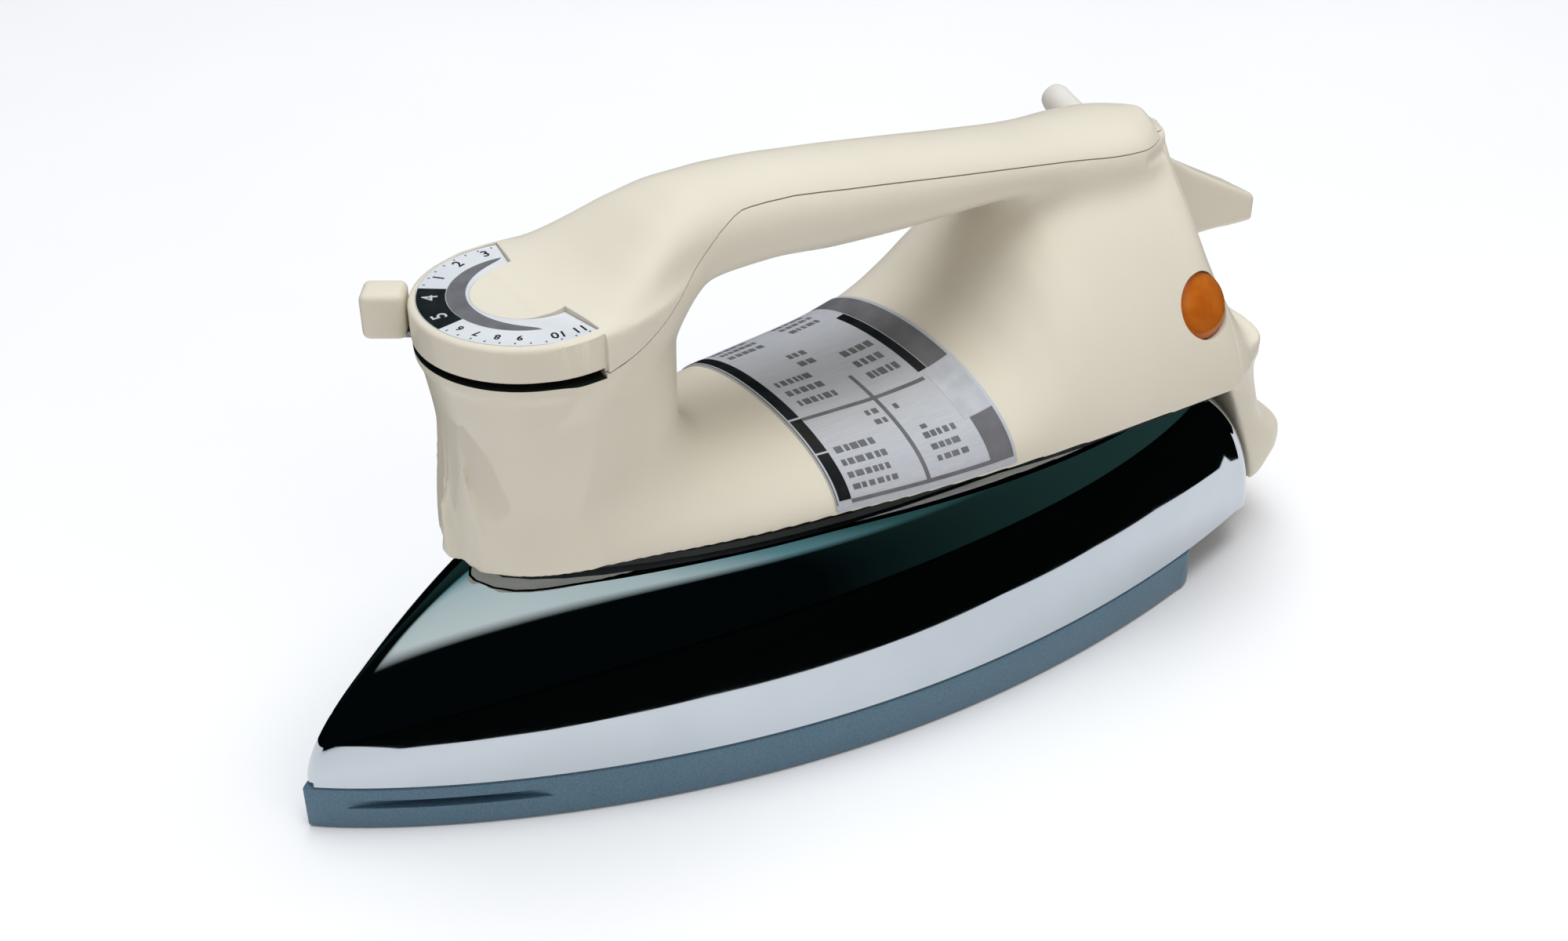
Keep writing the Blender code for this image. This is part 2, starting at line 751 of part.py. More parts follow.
def build_heel():
    cream = material("cream_moulding", CREAM, 0.38)
    steel = material("zinc_screw", (0.55, 0.55, 0.56), 0.35, 1.0)
    cover = loft("heel_cover", heel_rings(), cream)
    hollow = []
    for z in (0.0548, 0.0600, 0.0650, 0.0700):
        hollow.append([(x, s - 0.0009, z) for x, s, z in heel_cover_ring(z, SHELL_WALL)])
    boolean(cover, loft("heel_hollow", hollow, cutter=True))
    start, end = along_lamp(-0.012), along_lamp(0.012)
    boolean(cover, rod("lamp_clearance", start, end, 0.0078, cutter=True, sides=28))
    lug_clearance = profile_slab("lug_clearance", lug_outline(GAP), 0.0060 + GAP, cutter=True)
    boolean(cover, lug_clearance)
    for front, radius in ((0.205, 0.0022), (0.2215, 0.0046)):
        start, end = (0, front, 0.0600), (0, 0.245, 0.0600)
        boolean(cover, rod("heel_screw_hole", start, end, radius, cutter=True, sides=16))
    screw = [(0, 0.0240), (0.0036, 0.0240), (0.0040, 0.0233), (0.0040, 0.0219)]
    screw += [(0.0019, 0.0219), (0.0019, 0.0), (0, 0.0)]
    turned("heel_cover_screw", screw, (0, 0.2000, 0.0600), (0, 1, 0), steel, sides=16)
    profile_slab("heel_lug", lug_outline(0.0), 0.0060, cream, bevel=0.0012)


def lug_outline(grow):
    """Side outline of the upper heel rest, as (station, z) points. grow spreads it outwards."""
    return [
        (SEAM_STATION + GAP - grow, 0.0738 - grow),
        (0.2400, 0.0722 - grow),
        (0.2436 + grow, 0.0735),
        (0.2436 + grow, 0.0780),
        (0.2400 + grow / 2, 0.0806 + grow),
        (SEAM_STATION + GAP - grow, 0.0934 + grow),
    ]


def build_pilot_lamp():
    amber = material("amber_lens", (0.80, 0.30, 0.05), 0.15)
    dark = material("black_phenolic", (0.03, 0.03, 0.03), 0.5)
    clear = material("bulb_glass", (0.85, 0.85, 0.85), 0.05)
    ceramic = material("white_ceramic", (0.85, 0.83, 0.78), 0.4)
    dome = [(0, 0.0034), (0.0022, 0.0032), (0.0044, 0.0025), (0.0062, 0.0012), (0.0072, -0.0001)]
    dome += [(0.0072, -0.0003), (0.0059, -0.0003), (0.0059, -0.0060)]
    dome += [(0.0047, -0.0060), (0.0047, -0.0002), (0, 0.0012)]
    turned("pilot_lens", dome, along_lamp(0), LAMP_AXIS, amber, sides=28)
    holder = [(0.0044, -0.0015), (0.0044, -0.0130), (0.0012, -0.0130), (0.0012, -0.0110), (0.0034, -0.0110)]
    holder += [(0.0034, -0.0015), (0.0044, -0.0015)]
    turned("lamp_holder", holder, along_lamp(0), LAMP_AXIS, dark, sides=20)
    bulb = [(0, -0.0016), (0.0016, -0.0021), (0.0026, -0.0034)]
    bulb += [(0.0026, -0.0090), (0.0018, -0.0104), (0, -0.0104)]
    turned("neon_bulb", bulb, along_lamp(0), LAMP_AXIS, clear, sides=16)
    rod("lamp_resistor", (0.0120, 0.1930, 0.0760), (0.0120, 0.2020, 0.0760), 0.0013, ceramic, sides=10)


def build_cord_entry():
    grey = material("grey_rubber", (0.55, 0.54, 0.52), 0.6)
    start, end = Vector(GLAND_INNER), Vector(GLAND_OUTER)
    axis = (end - start).normalized()
    gland = rod("cord_gland", tuple(start + axis * 0.0010), GLAND_OUTER, 0.0035, grey, sides=20)
    bore_start, bore_end = tuple(start - axis * 0.002), tuple(end + axis * 0.002)
    boolean(gland, rod("gland_bore", bore_start, bore_end, 0.0024, cutter=True))


# ---------------------------------------------------------------- sole, cover and what lies between them


def groove_outline(side, steps=14):
    """A lens-shaped pocket in the sole's edge, for buttons: deepest half way along, gone at both ends."""
    outer, inner = [], []
    for i in range(steps + 1):
        station = GROOVE_FRONT + (GROOVE_REAR - GROOVE_FRONT) * i / steps
        half = rim_half_width(station)
        depth = GROOVE_DEPTH * math.sin(math.pi * i / steps) ** 0.7
        slope = (rim_half_width(station + 0.0005) - rim_half_width(station - 0.0005)) / 0.001
        length = math.hypot(1.0, slope)
        outer.append((side * (half + 0.004 / length), station - 0.004 * slope / length))
        inner.append((side * (half - depth / length), station + depth * slope / length))
    return outer + inner[::-1]


def build_sole():
    blue_grey = material("sole_casting", (0.16, 0.24, 0.30), 0.35, 0.6)
    sole = slab("soleplate", sole_outline(), 0.0, SOLE_THICKNESS, blue_grey, bevel=0.0006)
    for x, station in plate_bosses():
        boss = upright("sole_boss", x, station, 0.004, PLATE_BOTTOM_Z - GAP, 0.0058, cutter=True, sides=16)
        boolean(sole, boss, "UNION")
        drill(sole, x, station, 0.0080, 0.0300, 0.0027)
    for side in (-1, 1):
        boolean(sole, slab("button_groove", groove_outline(side), *GROOVE_Z, cutter=True))


def plate_bosses():
    return [(0.0, TIE_STATION), (-PLATE_STUD_X, PLATE_STUD_STATION), (PLATE_STUD_X, PLATE_STUD_STATION)]


def build_element():
    steel = material("element_sheath", (0.35, 0.33, 0.31), 0.5, 1.0)
    ceramic = material("white_ceramic", (0.85, 0.83, 0.78), 0.4)
    brass = material("brass", (0.75, 0.58, 0.28), 0.3, 1.0)
    leg = []
    for station in (0.172, 0.150, 0.125, 0.100, 0.078, 0.060, 0.046, 0.036):
        leg.append((rim_half_width(station) - 0.0135, station, ELEMENT_Z))
    leg[0] = (ELEMENT_END_X, 0.178, ELEMENT_Z)
    nose = [(leg[-1][0] * f, 0.036 - g, ELEMENT_Z) for f, g in ((0.72, 0.0045), (0.30, 0.0075))]
    rise = []
    for back, z in ((0.0, 0.0240), (0.0006, 0.0180), (0.0026, 0.0150)):
        rise.append((ELEMENT_END_X, ELEMENT_END_STATION - back, z))
    right = rise + leg + nose
    left = [(-x, s, z) for x, s, z in reversed(right)]
    tube("heating_element", right + left, ELEMENT_RADIUS, steel, 1)
    for side, name in ((-1, "left"), (1, "right")):
        x = side * ELEMENT_END_X
        bead = upright(f"element_bead_{name}", x, ELEMENT_END_STATION, 0.0243, 0.0290, 0.0030, ceramic)
        drill(bead, x, ELEMENT_END_STATION, 0.0200, 0.0320, 0.0013, sides=8)
        upright(f"element_pin_{name}", x, ELEMENT_END_STATION, 0.0243, 0.0350, 0.0010, brass, sides=8)


def weight_half_width(station):
    return min(rim_half_width(station) - 0.0095, 0.0300)


def shield_half_width(station):
    return weight_half_width(station) - 0.006


def build_ballast():
    """Cast-iron weight on the sole's bosses, and the sheet that keeps heat off the handle."""
    iron = material("cast_iron", (0.12, 0.12, 0.12), 0.6, 0.8)
    mica = material("heat_sheet", (0.60, 0.52, 0.36), 0.5)
    outline = boat_outline(0.026, 0.1780, weight_half_width, 0.006, 12)
    plate = slab("weight_plate", outline, PLATE_BOTTOM_Z, PLATE_TOP_Z, iron, bevel=0.0008)
    slot = box("thermostat_slot", (-0.0125, 0.0495, 0.010), (0.0125, 0.1180, 0.040), cutter=True)
    boolean(plate, slot)
    for x, station in plate_bosses():
        drill(plate, x, station, 0.010, 0.040, 0.0029)

    outline = boat_outline(0.030, 0.1740, shield_half_width, 0.004, 10)
    sheet = slab("heat_shield", outline, SHIELD_Z, SHIELD_Z + SHIELD_THICKNESS, mica)
    drill(sheet, 0, DIAL_STATION, 0.030, 0.036, 0.0060, sides=20)
    window = box("lead_window", (-0.0040, 0.1080, 0.030), (0.0125, 0.1200, 0.036), cutter=True)
    boolean(sheet, window)
    for x, station in plate_bosses():
        drill(sheet, x, station, 0.030, 0.036, 0.0030)


def build_studs():
    """The studs and nuts that hold the weight to the sole. The front stud also ties the handle down."""
    steel = material("zinc_screw", (0.55, 0.55, 0.56), 0.35, 1.0)
    names = (
        ("tie_stud_front", "tie_nut_front", 0.0620),
        ("plate_stud_left", "plate_nut_left", 0.0345),
        ("plate_stud_right", "plate_nut_right", 0.0345),
    )
    for (x, station), (stud, nut, top) in zip(plate_bosses(), names):
        rod(stud, (x, station, 0.0083), (x, station, top), 0.0023, steel, sides=12, chamfer=0.0005)
        hexagon = upright(nut, x, station, PLATE_TOP_Z + GAP, SHIELD_Z - GAP, 0.0047, steel, sides=6)
        drill(hexagon, x, station, 0.020, 0.040, 0.0026)


def cover_rings(levels):
    """Level sections of the chrome cover: steep sides and a sloping nose that roll over into the flat deck."""
    rim = boat_outline(0.0015, COVER_REAR, rim_half_width, 0.006, 16)
    deck = boat_outline(DECK_FRONT, DECK_REAR, deck_half_width, 0.006, 16)
    flat_front, flat_rear = 0.0490, 0.2010
    stretch = (flat_rear - flat_front) / (DECK_REAR - DECK_FRONT)
    flat = [(x * 0.792, flat_front + (s - DECK_FRONT) * stretch) for x, s in deck]
    slopes = [math.dist(low, high) for low, high in zip(rim, deck)]
    rings = []
    for level in levels:
        ring = []
        for low, high, slope in zip(rim, flat, slopes):
            nose = min(1.0, max(0.0, (slope - 0.0055) / 0.0300))
            roll, rise = 2.0 - 0.75 * nose, 2.2 - 0.6 * nose
            inward = 1 - (1 - level**rise) ** (1 / roll)
            x = low[0] + (high[0] - low[0]) * inward
            s = low[1] + (high[1] - low[1]) * inward
            ring.append((x, s, COVER_RIM_Z + (DECK_Z - COVER_RIM_Z) * level))
        rings.append(ring)
    return rings


def build_chrome_cover():
    chrome = material("chrome_plate", (0.85, 0.87, 0.88), 0.06, 1.0)
    steel = material("zinc_screw", (0.55, 0.55, 0.56), 0.35, 1.0)
    rings = cover_rings((0.0, 0.20, 0.40, 0.58, 0.72, 0.83, 0.91, 0.96, 0.99, 1.0))
    bm = bmesh.new()
    rows = [[bm.verts.new(at(*p)) for p in ring] for ring in rings]
    for lower, upper in zip(rows, rows[1:]):
        for i in range(len(lower)):
            j = (i + 1) % len(lower)
            bm.faces.new((lower[i], lower[j], upper[j], upper[i]))
    bm.faces.new(rows[-1])
    bmesh.ops.recalc_face_normals(bm, faces=bm.faces)
    if max(bm.faces, key=lambda f: f.calc_center_median().z).normal.z < 0:
        bmesh.ops.reverse_faces(bm, faces=bm.faces)
    mesh = bpy.data.meshes.new("chrome_cover")
    bm.to_mesh(mesh)
    bm.free()
    cover = add_object("chrome_cover", mesh, chrome)
    wall = cover.modifiers.new("wall", "SOLIDIFY")
    wall.thickness = COVER_WALL
    wall.offset = -1.0
    holes = [(0, DIAL_STATION, 0.0060), (0, TIE_STATION, 0.0027), (0, 0.1780, 0.0080)]
    holes += [(side * REAR_SCREW_X, REAR_SCREW_STATION, 0.0023) for side in (-1, 1)]
    for x, station, radius in holes:
        drill(cover, x, station, 0.044, 0.056, radius, sides=16)
    for side, name in ((-1, "left"), (1, "right")):
        x = side * REAR_SCREW_X
        screw = [(0, 0.0595), (0.0019, 0.0595), (0.0019, 0.0495)]
        screw += [(0.0040, 0.0495), (0.0040, 0.0470), (0, 0.0470)]
        turned(f"tie_screw_rear_{name}", screw, (x, REAR_SCREW_STATION, 0), (0, 0, 1), steel, sides=12)


def build_base_gasket():
    """The dark insulating plate that shows as a shadow line between the cover and the handle body."""
    dark = material("black_phenolic", (0.03, 0.03, 0.03), 0.5)
    outline = inset(boat_outline(0.0382, 0.2105, body_half_width, 0.004, 16), 0.0024)
    plate = slab("base_gasket", outline, DECK_Z + GAP, BODY_BASE_Z - GAP, dark)
    holes = [(0, DIAL_STATION, 0.0062), (0, TIE_STATION, 0.0027), (0, 0.1780, 0.0080)]
    holes += [(side * REAR_SCREW_X, REAR_SCREW_STATION, 0.0023) for side in (-1, 1)]
    for x, station, radius in holes:
        drill(plate, x, station, 0.048, 0.056, radius, sides=16)


# ---------------------------------------------------------------- thermostat and its control


def strip(name, front, rear, half, bottom, thickness, finish):
    return box(name, (-half, front, bottom), (half, rear, bottom + thickness), finish)


def build_thermostat():
    steel = material("spring_steel", (0.50, 0.50, 0.50), 0.35, 1.0)
    copper = material("bimetal", (0.62, 0.42, 0.28), 0.4, 1.0)
    brass = material("brass", (0.75, 0.58, 0.28), 0.3, 1.0)
    silver = material("contact_silver", (0.80, 0.80, 0.78), 0.25, 1.0)
    ceramic = material("white_ceramic", (0.85, 0.83, 0.78), 0.4)
    stack_front, stack_rear = BLADE_ROOT + GAP / 2, STACK_REAR
    free_rear = BLADE_ROOT - GAP / 2
    middle = (stack_front + stack_rear) / 2
    layers = []
    layers.append(strip("thermostat_base", 0.0505, 0.1070, 0.0092, 0.0106, 0.0012, steel))
    layers.append(strip("bimetal_root", stack_front, stack_rear, 0.0050, 0.0121, 0.0010, copper))
    layers.append(strip("spacer_lower", stack_front, stack_rear, 0.0060, 0.0134, 0.0036, ceramic))
    layers.append(strip("setting_arm_root", stack_front, stack_rear, 0.0045, 0.0173, 0.0006, brass))
    layers.append(strip("spacer_middle", stack_front, stack_rear, 0.0060, 0.0182, 0.0035, ceramic))
    layers.append(strip("contact_arm_root", stack_front, stack_rear, 0.0045, 0.0220, 0.0006, steel))
    layers.append(strip("spacer_upper", stack_front, stack_rear, 0.0060, 0.0229, 0.0025, ceramic))
    for layer in layers:
        drill(layer, 0, middle, 0.008, 0.030, 0.0019)
    screw = [(0, 0.0282), (0.0032, 0.0282), (0.0032, 0.0257)]
    screw += [(0.0016, 0.0257), (0.0016, 0.0108), (0, 0.0108)]
    turned("stack_screw", screw, (0, middle, 0), (0, 0, 1), steel, sides=12)

    bimetal = strip("bimetal_blade", 0.0620, free_rear, 0.0045, 0.0121, 0.0010, copper)
    setting = strip("setting_arm", 0.0545, free_rear, 0.0040, 0.0173, 0.0006, brass)
    contact = strip("contact_arm", 0.0610, free_rear, 0.0040, 0.0220, 0.0006, steel)
    drill(setting, 0, PIN_STATION, 0.0150, 0.0200, 0.0020, sides=16)
    pin = upright("lifting_pin", 0, PIN_STATION, 0.0134, 0.0217, 0.0011, ceramic)
    lower = upright("contact_lower", 0, CONTACT_STATION, 0.0182, 0.0195, 0.0020, silver, sides=16)
    upper = upright("contact_upper", 0, CONTACT_STATION, 0.0200, 0.0217, 0.0020, silver, sides=16)
    for moving in (bimetal, pin):
        set_origin(moving, (0, BLADE_ROOT, 0.0126))
    for moving in (setting, lower):
        set_origin(moving, (0, BLADE_ROOT, 0.0176))
    for moving in (contact, upper):
        set_origin(moving, (0, BLADE_ROOT, 0.0223))

    bridge = box("thermostat_bridge", (-0.0108, 0.0520, 0.0292), (0.0108, 0.0615, 0.0307), steel)
    for side in (-1, 1):
        inner, outer = sorted((side * 0.0096, side * 0.0108))
        leg = box("bridge_leg", (inner, 0.0520, 0.0106), (outer, 0.0615, 0.0300), cutter=True)
        boolean(bridge, leg, "UNION")
    drill(bridge, 0, DIAL_STATION, 0.026, 0.034, 0.0018, sides=16)


def build_control():
    steel = material("spring_steel", (0.50, 0.50, 0.50), 0.35, 1.0)
    brass = material("brass", (0.75, 0.58, 0.28), 0.3, 1.0)
    cream = material("cream_moulding", CREAM, 0.38)
    axis_foot = (0, DIAL_STATION, 0)
    screw = [(0, 0.0420), (0.0015, 0.0420), (0.0015, 0.0215)]
    screw += [(0.0008, 0.0200), (0.0008, 0.0183), (0, 0.0183)]
    set_origin_on_axis(turned("adjusting_screw", screw, axis_foot, (0, 0, 1), brass, sides=14))
    shaft = [(0, 0.0938), (0.0025, 0.0938), (0.0025, 0.0450), (0.0034, 0.0440)]
    shaft += [(0.0034, 0.0350), (0.0018, 0.0350), (0.0018, 0.0435), (0, 0.0435)]
    set_origin_on_axis(turned("control_shaft", shaft, axis_foot, (0, 0, 1), steel, sides=16))
    bush = [(0.0027, 0.0866), (0.0062, 0.0866), (0.0062, 0.0839), (0.0042, 0.0839)]
    bush += [(0.0042, 0.0770), (0.0027, 0.0770), (0.0027, 0.0866)]
    turned("shaft_bush", bush, axis_foot, (0, 0, 1), brass, sides=16)
    washer = [(0.0030, 0.0877), (0.0075, 0.0877), (0.0075, 0.0869), (0.0030, 0.0869), (0.0030, 0.0877)]
    turned("detent_washer", washer, axis_foot, (0, 0, 1), steel, sides=16)

    hub = [(0.0028, 0.0934), (0.0080, 0.0934), (0.0080, 0.0881), (0.0028, 0.0881), (0.0028, 0.0934)]
    hub_cutter = turned("lever_hub", hub, axis_foot, (0, 0, 1), cutter=True, sides=20)
    angle = math.radians(LEVER_REST_DEG)
    lever = lever_box("selector_lever", 0.0045, 0.0288, 0.0024, 0.0961, 0.0973, angle, steel)
    riser = lever_box("lever_riser", 0.0045, 0.0078, 0.0024, 0.0920, 0.0973, angle, cutter=True)
    boolean(lever, riser, "UNION")
    boolean(lever, hub_cutter, "UNION")
    knob = lever_box("selector_knob", 0.0229, 0.0312, 0.0037, 0.0960, 0.1050, angle, cream, bevel=0.0014)
    boolean(knob, lever_box("lever_pocket", 0.0200, 0.0291, 0.0027, 0.0940, 0.0976, angle, cutter=True))
    for piece in (lever, knob):
        set_origin(piece, axis_foot)


def set_origin_on_axis(obj):
    obj.location = at(0, DIAL_STATION, 0)


def lever_box(name, inner, outer, half, bottom, top, angle, finish=None, cutter=False, bevel=0.0):
    """A box between two radii from the dial's centre, turned by angle from the nose."""
    low, high = (-half, DIAL_STATION - outer, bottom), (half, DIAL_STATION - inner, top)
    obj = box(name, low, high, finish, cutter, bevel)
    pivot = at(0, DIAL_STATION, 0)
    turn = Matrix.Translation(pivot) @ Matrix.Rotation(angle, 4, "Z") @ Matrix.Translation(-pivot)
    obj.data.transform(turn)
    return obj


# ---------------------------------------------------------------- wiring


def build_terminals():
    """The terminal block, its screws, and the clamp that holds the cord."""
    dark = material("black_phenolic", (0.03, 0.03, 0.03), 0.5)
    brass = material("brass", (0.75, 0.58, 0.28), 0.3, 1.0)
    steel = material("zinc_screw", (0.55, 0.55, 0.56), 0.35, 1.0)
    low, high = (-0.0150, 0.1880, 0.0560), (0.0150, 0.1990, 0.0640)
    block = box("terminal_block", low, high, dark, bevel=0.0008)
    screw = [(0, 0.0668), (0.0024, 0.0668), (0.0024, 0.0646)]
    screw += [(0.0015, 0.0646), (0.0015, 0.0606), (0, 0.0606)]
    for number, x in enumerate((-0.0100, 0.0, 0.0100), start=1):
        drill(block, x, TERMINAL_STATION, 0.0600, 0.0680, 0.0019)
        turned(f"terminal_screw_{number}", screw, (x, TERMINAL_STATION, 0), (0, 0, 1), brass, sides=12)
    clamp = box("cord_clamp", (-0.0080, 0.1930, 0.0800), (0.0080, 0.1990, 0.0822), steel, bevel=0.0005)
    drill(clamp, 0, 0.1960, 0.076, 0.086, 0.0016)


def build_leads():
    """Sleeved wires: element to terminal, terminal to thermostat, thermostat to element."""
    sleeve = material("glass_sleeve", (0.80, 0.78, 0.70), 0.7)
    red = material("live_sleeve", (0.45, 0.12, 0.08), 0.6)
    neutral = [
        (-ELEMENT_END_X, ELEMENT_END_STATION, 0.0364),
        (-ELEMENT_END_X, ELEMENT_END_STATION, 0.0400),
        (-0.0150, 0.1810, 0.0440),
        (-0.0050, 0.1785, 0.0480),
        (-0.0045, 0.1780, 0.0540),
        (-0.0070, 0.1820, 0.0590),
        (-0.0100, 0.1860, 0.0600),
    ]
    live = [
        (0.0, 0.1864, 0.0600),
        (0.0, 0.1820, 0.0590),
        (0.0, 0.1790, 0.0540),
        (0.0, 0.1780, 0.0460),
        (0.0, 0.1680, 0.0395),
        (0.0, 0.1400, 0.0372),
        (0.0, 0.1150, 0.0350),
        (0.0, 0.1120, 0.0280),
        (0.0, 0.1085, 0.0223),
        (0.0, 0.1045, 0.0223),
    ]
    heater = [
        (ELEMENT_END_X, ELEMENT_END_STATION, 0.0364),
        (ELEMENT_END_X, ELEMENT_END_STATION - 0.001, 0.0400),
        (0.0190, 0.1700, 0.0412),
        (0.0120, 0.1400, 0.0400),
        (0.0095, 0.1180, 0.0370),
        (0.0085, 0.1130, 0.0280),
        (0.0060, 0.1090, 0.0178),
        (0.0030, 0.1054, 0.0176),
    ]
    tube("lead_neutral", neutral, LEAD_RADIUS, sleeve)
    tube("lead_live", live, LEAD_RADIUS, red)
    tube("lead_heater", heater, LEAD_RADIUS, sleeve)


def main():
    clear_scene()
    build_handle()
    build_dial_scale()
    build_rating_label()
    build_heel()
    build_pilot_lamp()
    build_cord_entry()
    build_sole()
    build_element()
    build_ballast()
    build_studs()
    build_chrome_cover()
    build_base_gasket()
    build_thermostat()
    build_control()
    build_terminals()
    build_leads()


main()
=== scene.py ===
"""Looks of a heavy electric dry iron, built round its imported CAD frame.

The frame is in metres: +Z up, the nose along -Y, the pilot lamp on the +X side. Shapes here are worked out in
millimetres as (x, station, z), where a station is the distance back from the nose tip.
"""

import math

import bmesh
import bpy
import numpy as np
import openvdb
from mathutils import Matrix, Vector

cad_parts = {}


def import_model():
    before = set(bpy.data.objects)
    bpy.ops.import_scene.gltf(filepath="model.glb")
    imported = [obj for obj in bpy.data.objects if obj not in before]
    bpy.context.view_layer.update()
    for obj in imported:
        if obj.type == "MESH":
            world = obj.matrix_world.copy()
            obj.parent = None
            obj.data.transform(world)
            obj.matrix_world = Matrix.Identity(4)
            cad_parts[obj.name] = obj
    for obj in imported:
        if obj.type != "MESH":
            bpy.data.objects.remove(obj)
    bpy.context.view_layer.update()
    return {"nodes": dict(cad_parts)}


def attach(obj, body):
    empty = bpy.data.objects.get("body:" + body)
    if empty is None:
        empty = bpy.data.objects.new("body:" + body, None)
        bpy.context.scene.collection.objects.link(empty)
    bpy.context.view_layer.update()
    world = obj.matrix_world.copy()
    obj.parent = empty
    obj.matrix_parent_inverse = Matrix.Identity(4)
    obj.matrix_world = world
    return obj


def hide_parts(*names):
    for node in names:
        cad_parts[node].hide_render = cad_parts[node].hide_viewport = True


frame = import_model()

MM = 1000.0  # in a metre
HALF_LENGTH = 123.5
WIDEST_STATION = 140.0
SOLE_LENGTH = 208.0
SOLE_HALF_WIDTH = 44.0
GROOVE_BAND = (5.2, 7.3)
COVER_FRONT, COVER_REAR = 1.5, 231.0
COVER_FOOT_Z = 10.6
COVER_RISE = 40.4
COVER_WALL = 0.9
BASE_Z = 53.0
BODY_FRONT = 37.6
WALL = 2.6
PILLAR_HALF_WIDTH = 39.0
PILLAR_RISE = 50.2
HEEL_CORNER = 200.0
HEEL_COVER_FRONT = 212.1
SEAM_STATION = 211.8
HALF_SEAM_GAP = 0.14
DIAL_STATION = 57.7
CAP_RADIUS = 22.15
CAP_MIDDLE_Z = 99.0
CAP_TOP = 104.6
SLOT_LOW, SLOT_HIGH = 95.8, 97.6
SLOT_HALF_ANGLE = 96.5
DIAL_PRINT = (104.59, 104.64)
LEVER_REST = math.radians(-33.0)
LAMP_CENTRE = Vector((29.2, 203.8, 71.5))
LAMP_AXIS = Vector((0.90, 0.06, 0.43)).normalized()
GLAND_CENTRE = Vector((-8.0, 204.2, 97.4))
GLAND_AXIS = Vector((-21.0, 4.3, 2.6)).normalized()
LABEL_INK = (0.36, 0.47)
CARD_REACH = 8000.0
CARD_Z = 0.6
FLOOR_REACH = 8.0


# ---- materials


def color_ramp(nodes, links, factor, stops):
    """A colour ramp over a factor, from (position, colour) stops."""
    made = nodes.new("ShaderNodeValToRGB")
    while len(made.color_ramp.elements) < len(stops):
        made.color_ramp.elements.new(0.5)
    for element, (position, color) in zip(made.color_ramp.elements, stops):
        element.position = position
        element.color = (*color, 1.0)
    links.new(factor, made.inputs["Fac"])
    return made.outputs["Color"]


class Recipe:
    """A Principled material under construction."""

    def __init__(self, name):
        self.material = bpy.data.materials.new(name)
        self.material.use_nodes = True
        self.nodes = self.material.node_tree.nodes
        self.links = self.material.node_tree.links
        self.shader = self.nodes["Principled BSDF"]
        self.place = self.nodes.new("ShaderNodeTexCoord").outputs["Object"]

    def set(self, **values):
        for key, value in values.items():
            self.shader.inputs[key.replace("_", " ")].default_value = value
        return self

    def node(self, kind, **settings):
        made = self.nodes.new(kind)
        for key, value in settings.items():
            setattr(made, key, value)
        return made

    def stretched(self, scale):
        mapping = self.node("ShaderNodeMapping")
        mapping.inputs["Scale"].default_value = scale
        self.links.new(self.place, mapping.inputs["Vector"])
        return mapping.outputs["Vector"]

    def noise(self, scale, detail=3.0, roughness=0.55, where=None):
        made = self.node("ShaderNodeTexNoise")
        made.inputs["Scale"].default_value = scale
        made.inputs["Detail"].default_value = detail
        made.inputs["Roughness"].default_value = roughness
        self.links.new(where or self.place, made.inputs["Vector"])
        return made.outputs["Fac"]

    def ramp(self, factor, stops):
        return color_ramp(self.nodes, self.links, factor, stops)

    def between(self, factor, low, high):
        made = self.node("ShaderNodeMapRange")
        made.inputs["From Min"].default_value = 0.3
        made.inputs["From Max"].default_value = 0.7
        made.inputs["To Min"].default_value = low
        made.inputs["To Max"].default_value = high
        self.links.new(factor, made.inputs["Value"])
        return made.outputs["Result"]

    def color(self, output):
        self.links.new(output, self.shader.inputs["Base Color"])
        return self

    def roughness(self, output):
        self.links.new(output, self.shader.inputs["Roughness"])
        return self

    def bump(self, height, depth, strength=0.5):
        made = self.node("ShaderNodeBump")
        made.inputs["Distance"].default_value = depth
        made.inputs["Strength"].default_value = strength
        self.links.new(height, made.inputs["Height"])
        self.links.new(made.outputs["Normal"], self.shader.inputs["Normal"])
        return self


def mottled(name, dark, light, rough=(0.3, 0.5), patch=40.0, grain=600.0, depth=0.00002, **sockets):
    """A surface whose colour and gloss drift in patches and that carries a fine grain."""
    recipe = Recipe(name)
    recipe.color(recipe.ramp(recipe.noise(patch), [(0.35, dark), (0.65, light)]))
    recipe.roughness(recipe.between(recipe.noise(patch * 3.1, 4.0), *rough))
    recipe.bump(recipe.noise(grain, 2.0), depth)
    recipe.set(**sockets)
    return recipe.material


def cream_moulding():
    return mottled(
        "cream_moulding",
        (0.735, 0.680, 0.560),
        (0.765, 0.712, 0.592),
        rough=(0.30, 0.40),
        patch=22.0,
        grain=1400.0,
        depth=0.000012,
        Specular_IOR_Level=0.45,
        Subsurface_Weight=0.06,
        Subsurface_Radius=(0.004, 0.0022, 0.0014),
        Subsurface_Scale=1.0,
    )


def chrome_plate():
    return mottled(
        "chrome_plate",
        (0.51, 0.55, 0.59),
        (0.55, 0.59, 0.63),
        rough=(0.02, 0.05),
        patch=30.0,
        grain=120.0,
        depth=0.000002,
        Metallic=1.0,
    )


def sole_coat():
    recipe = Recipe("sole_coat")
    flecks = recipe.noise(2600.0, 1.0, 0.8)
    recipe.color(recipe.ramp(flecks, [(0.35, (0.075, 0.145, 0.205)), (0.72, (0.110, 0.200, 0.270))]))
    recipe.roughness(recipe.between(recipe.noise(90.0, 4.0), 0.28, 0.42))
    recipe.bump(recipe.noise(1800.0, 2.0), 0.00002, 0.4)
    recipe.set(Metallic=0.25, Specular_IOR_Level=0.5)
    return recipe.material


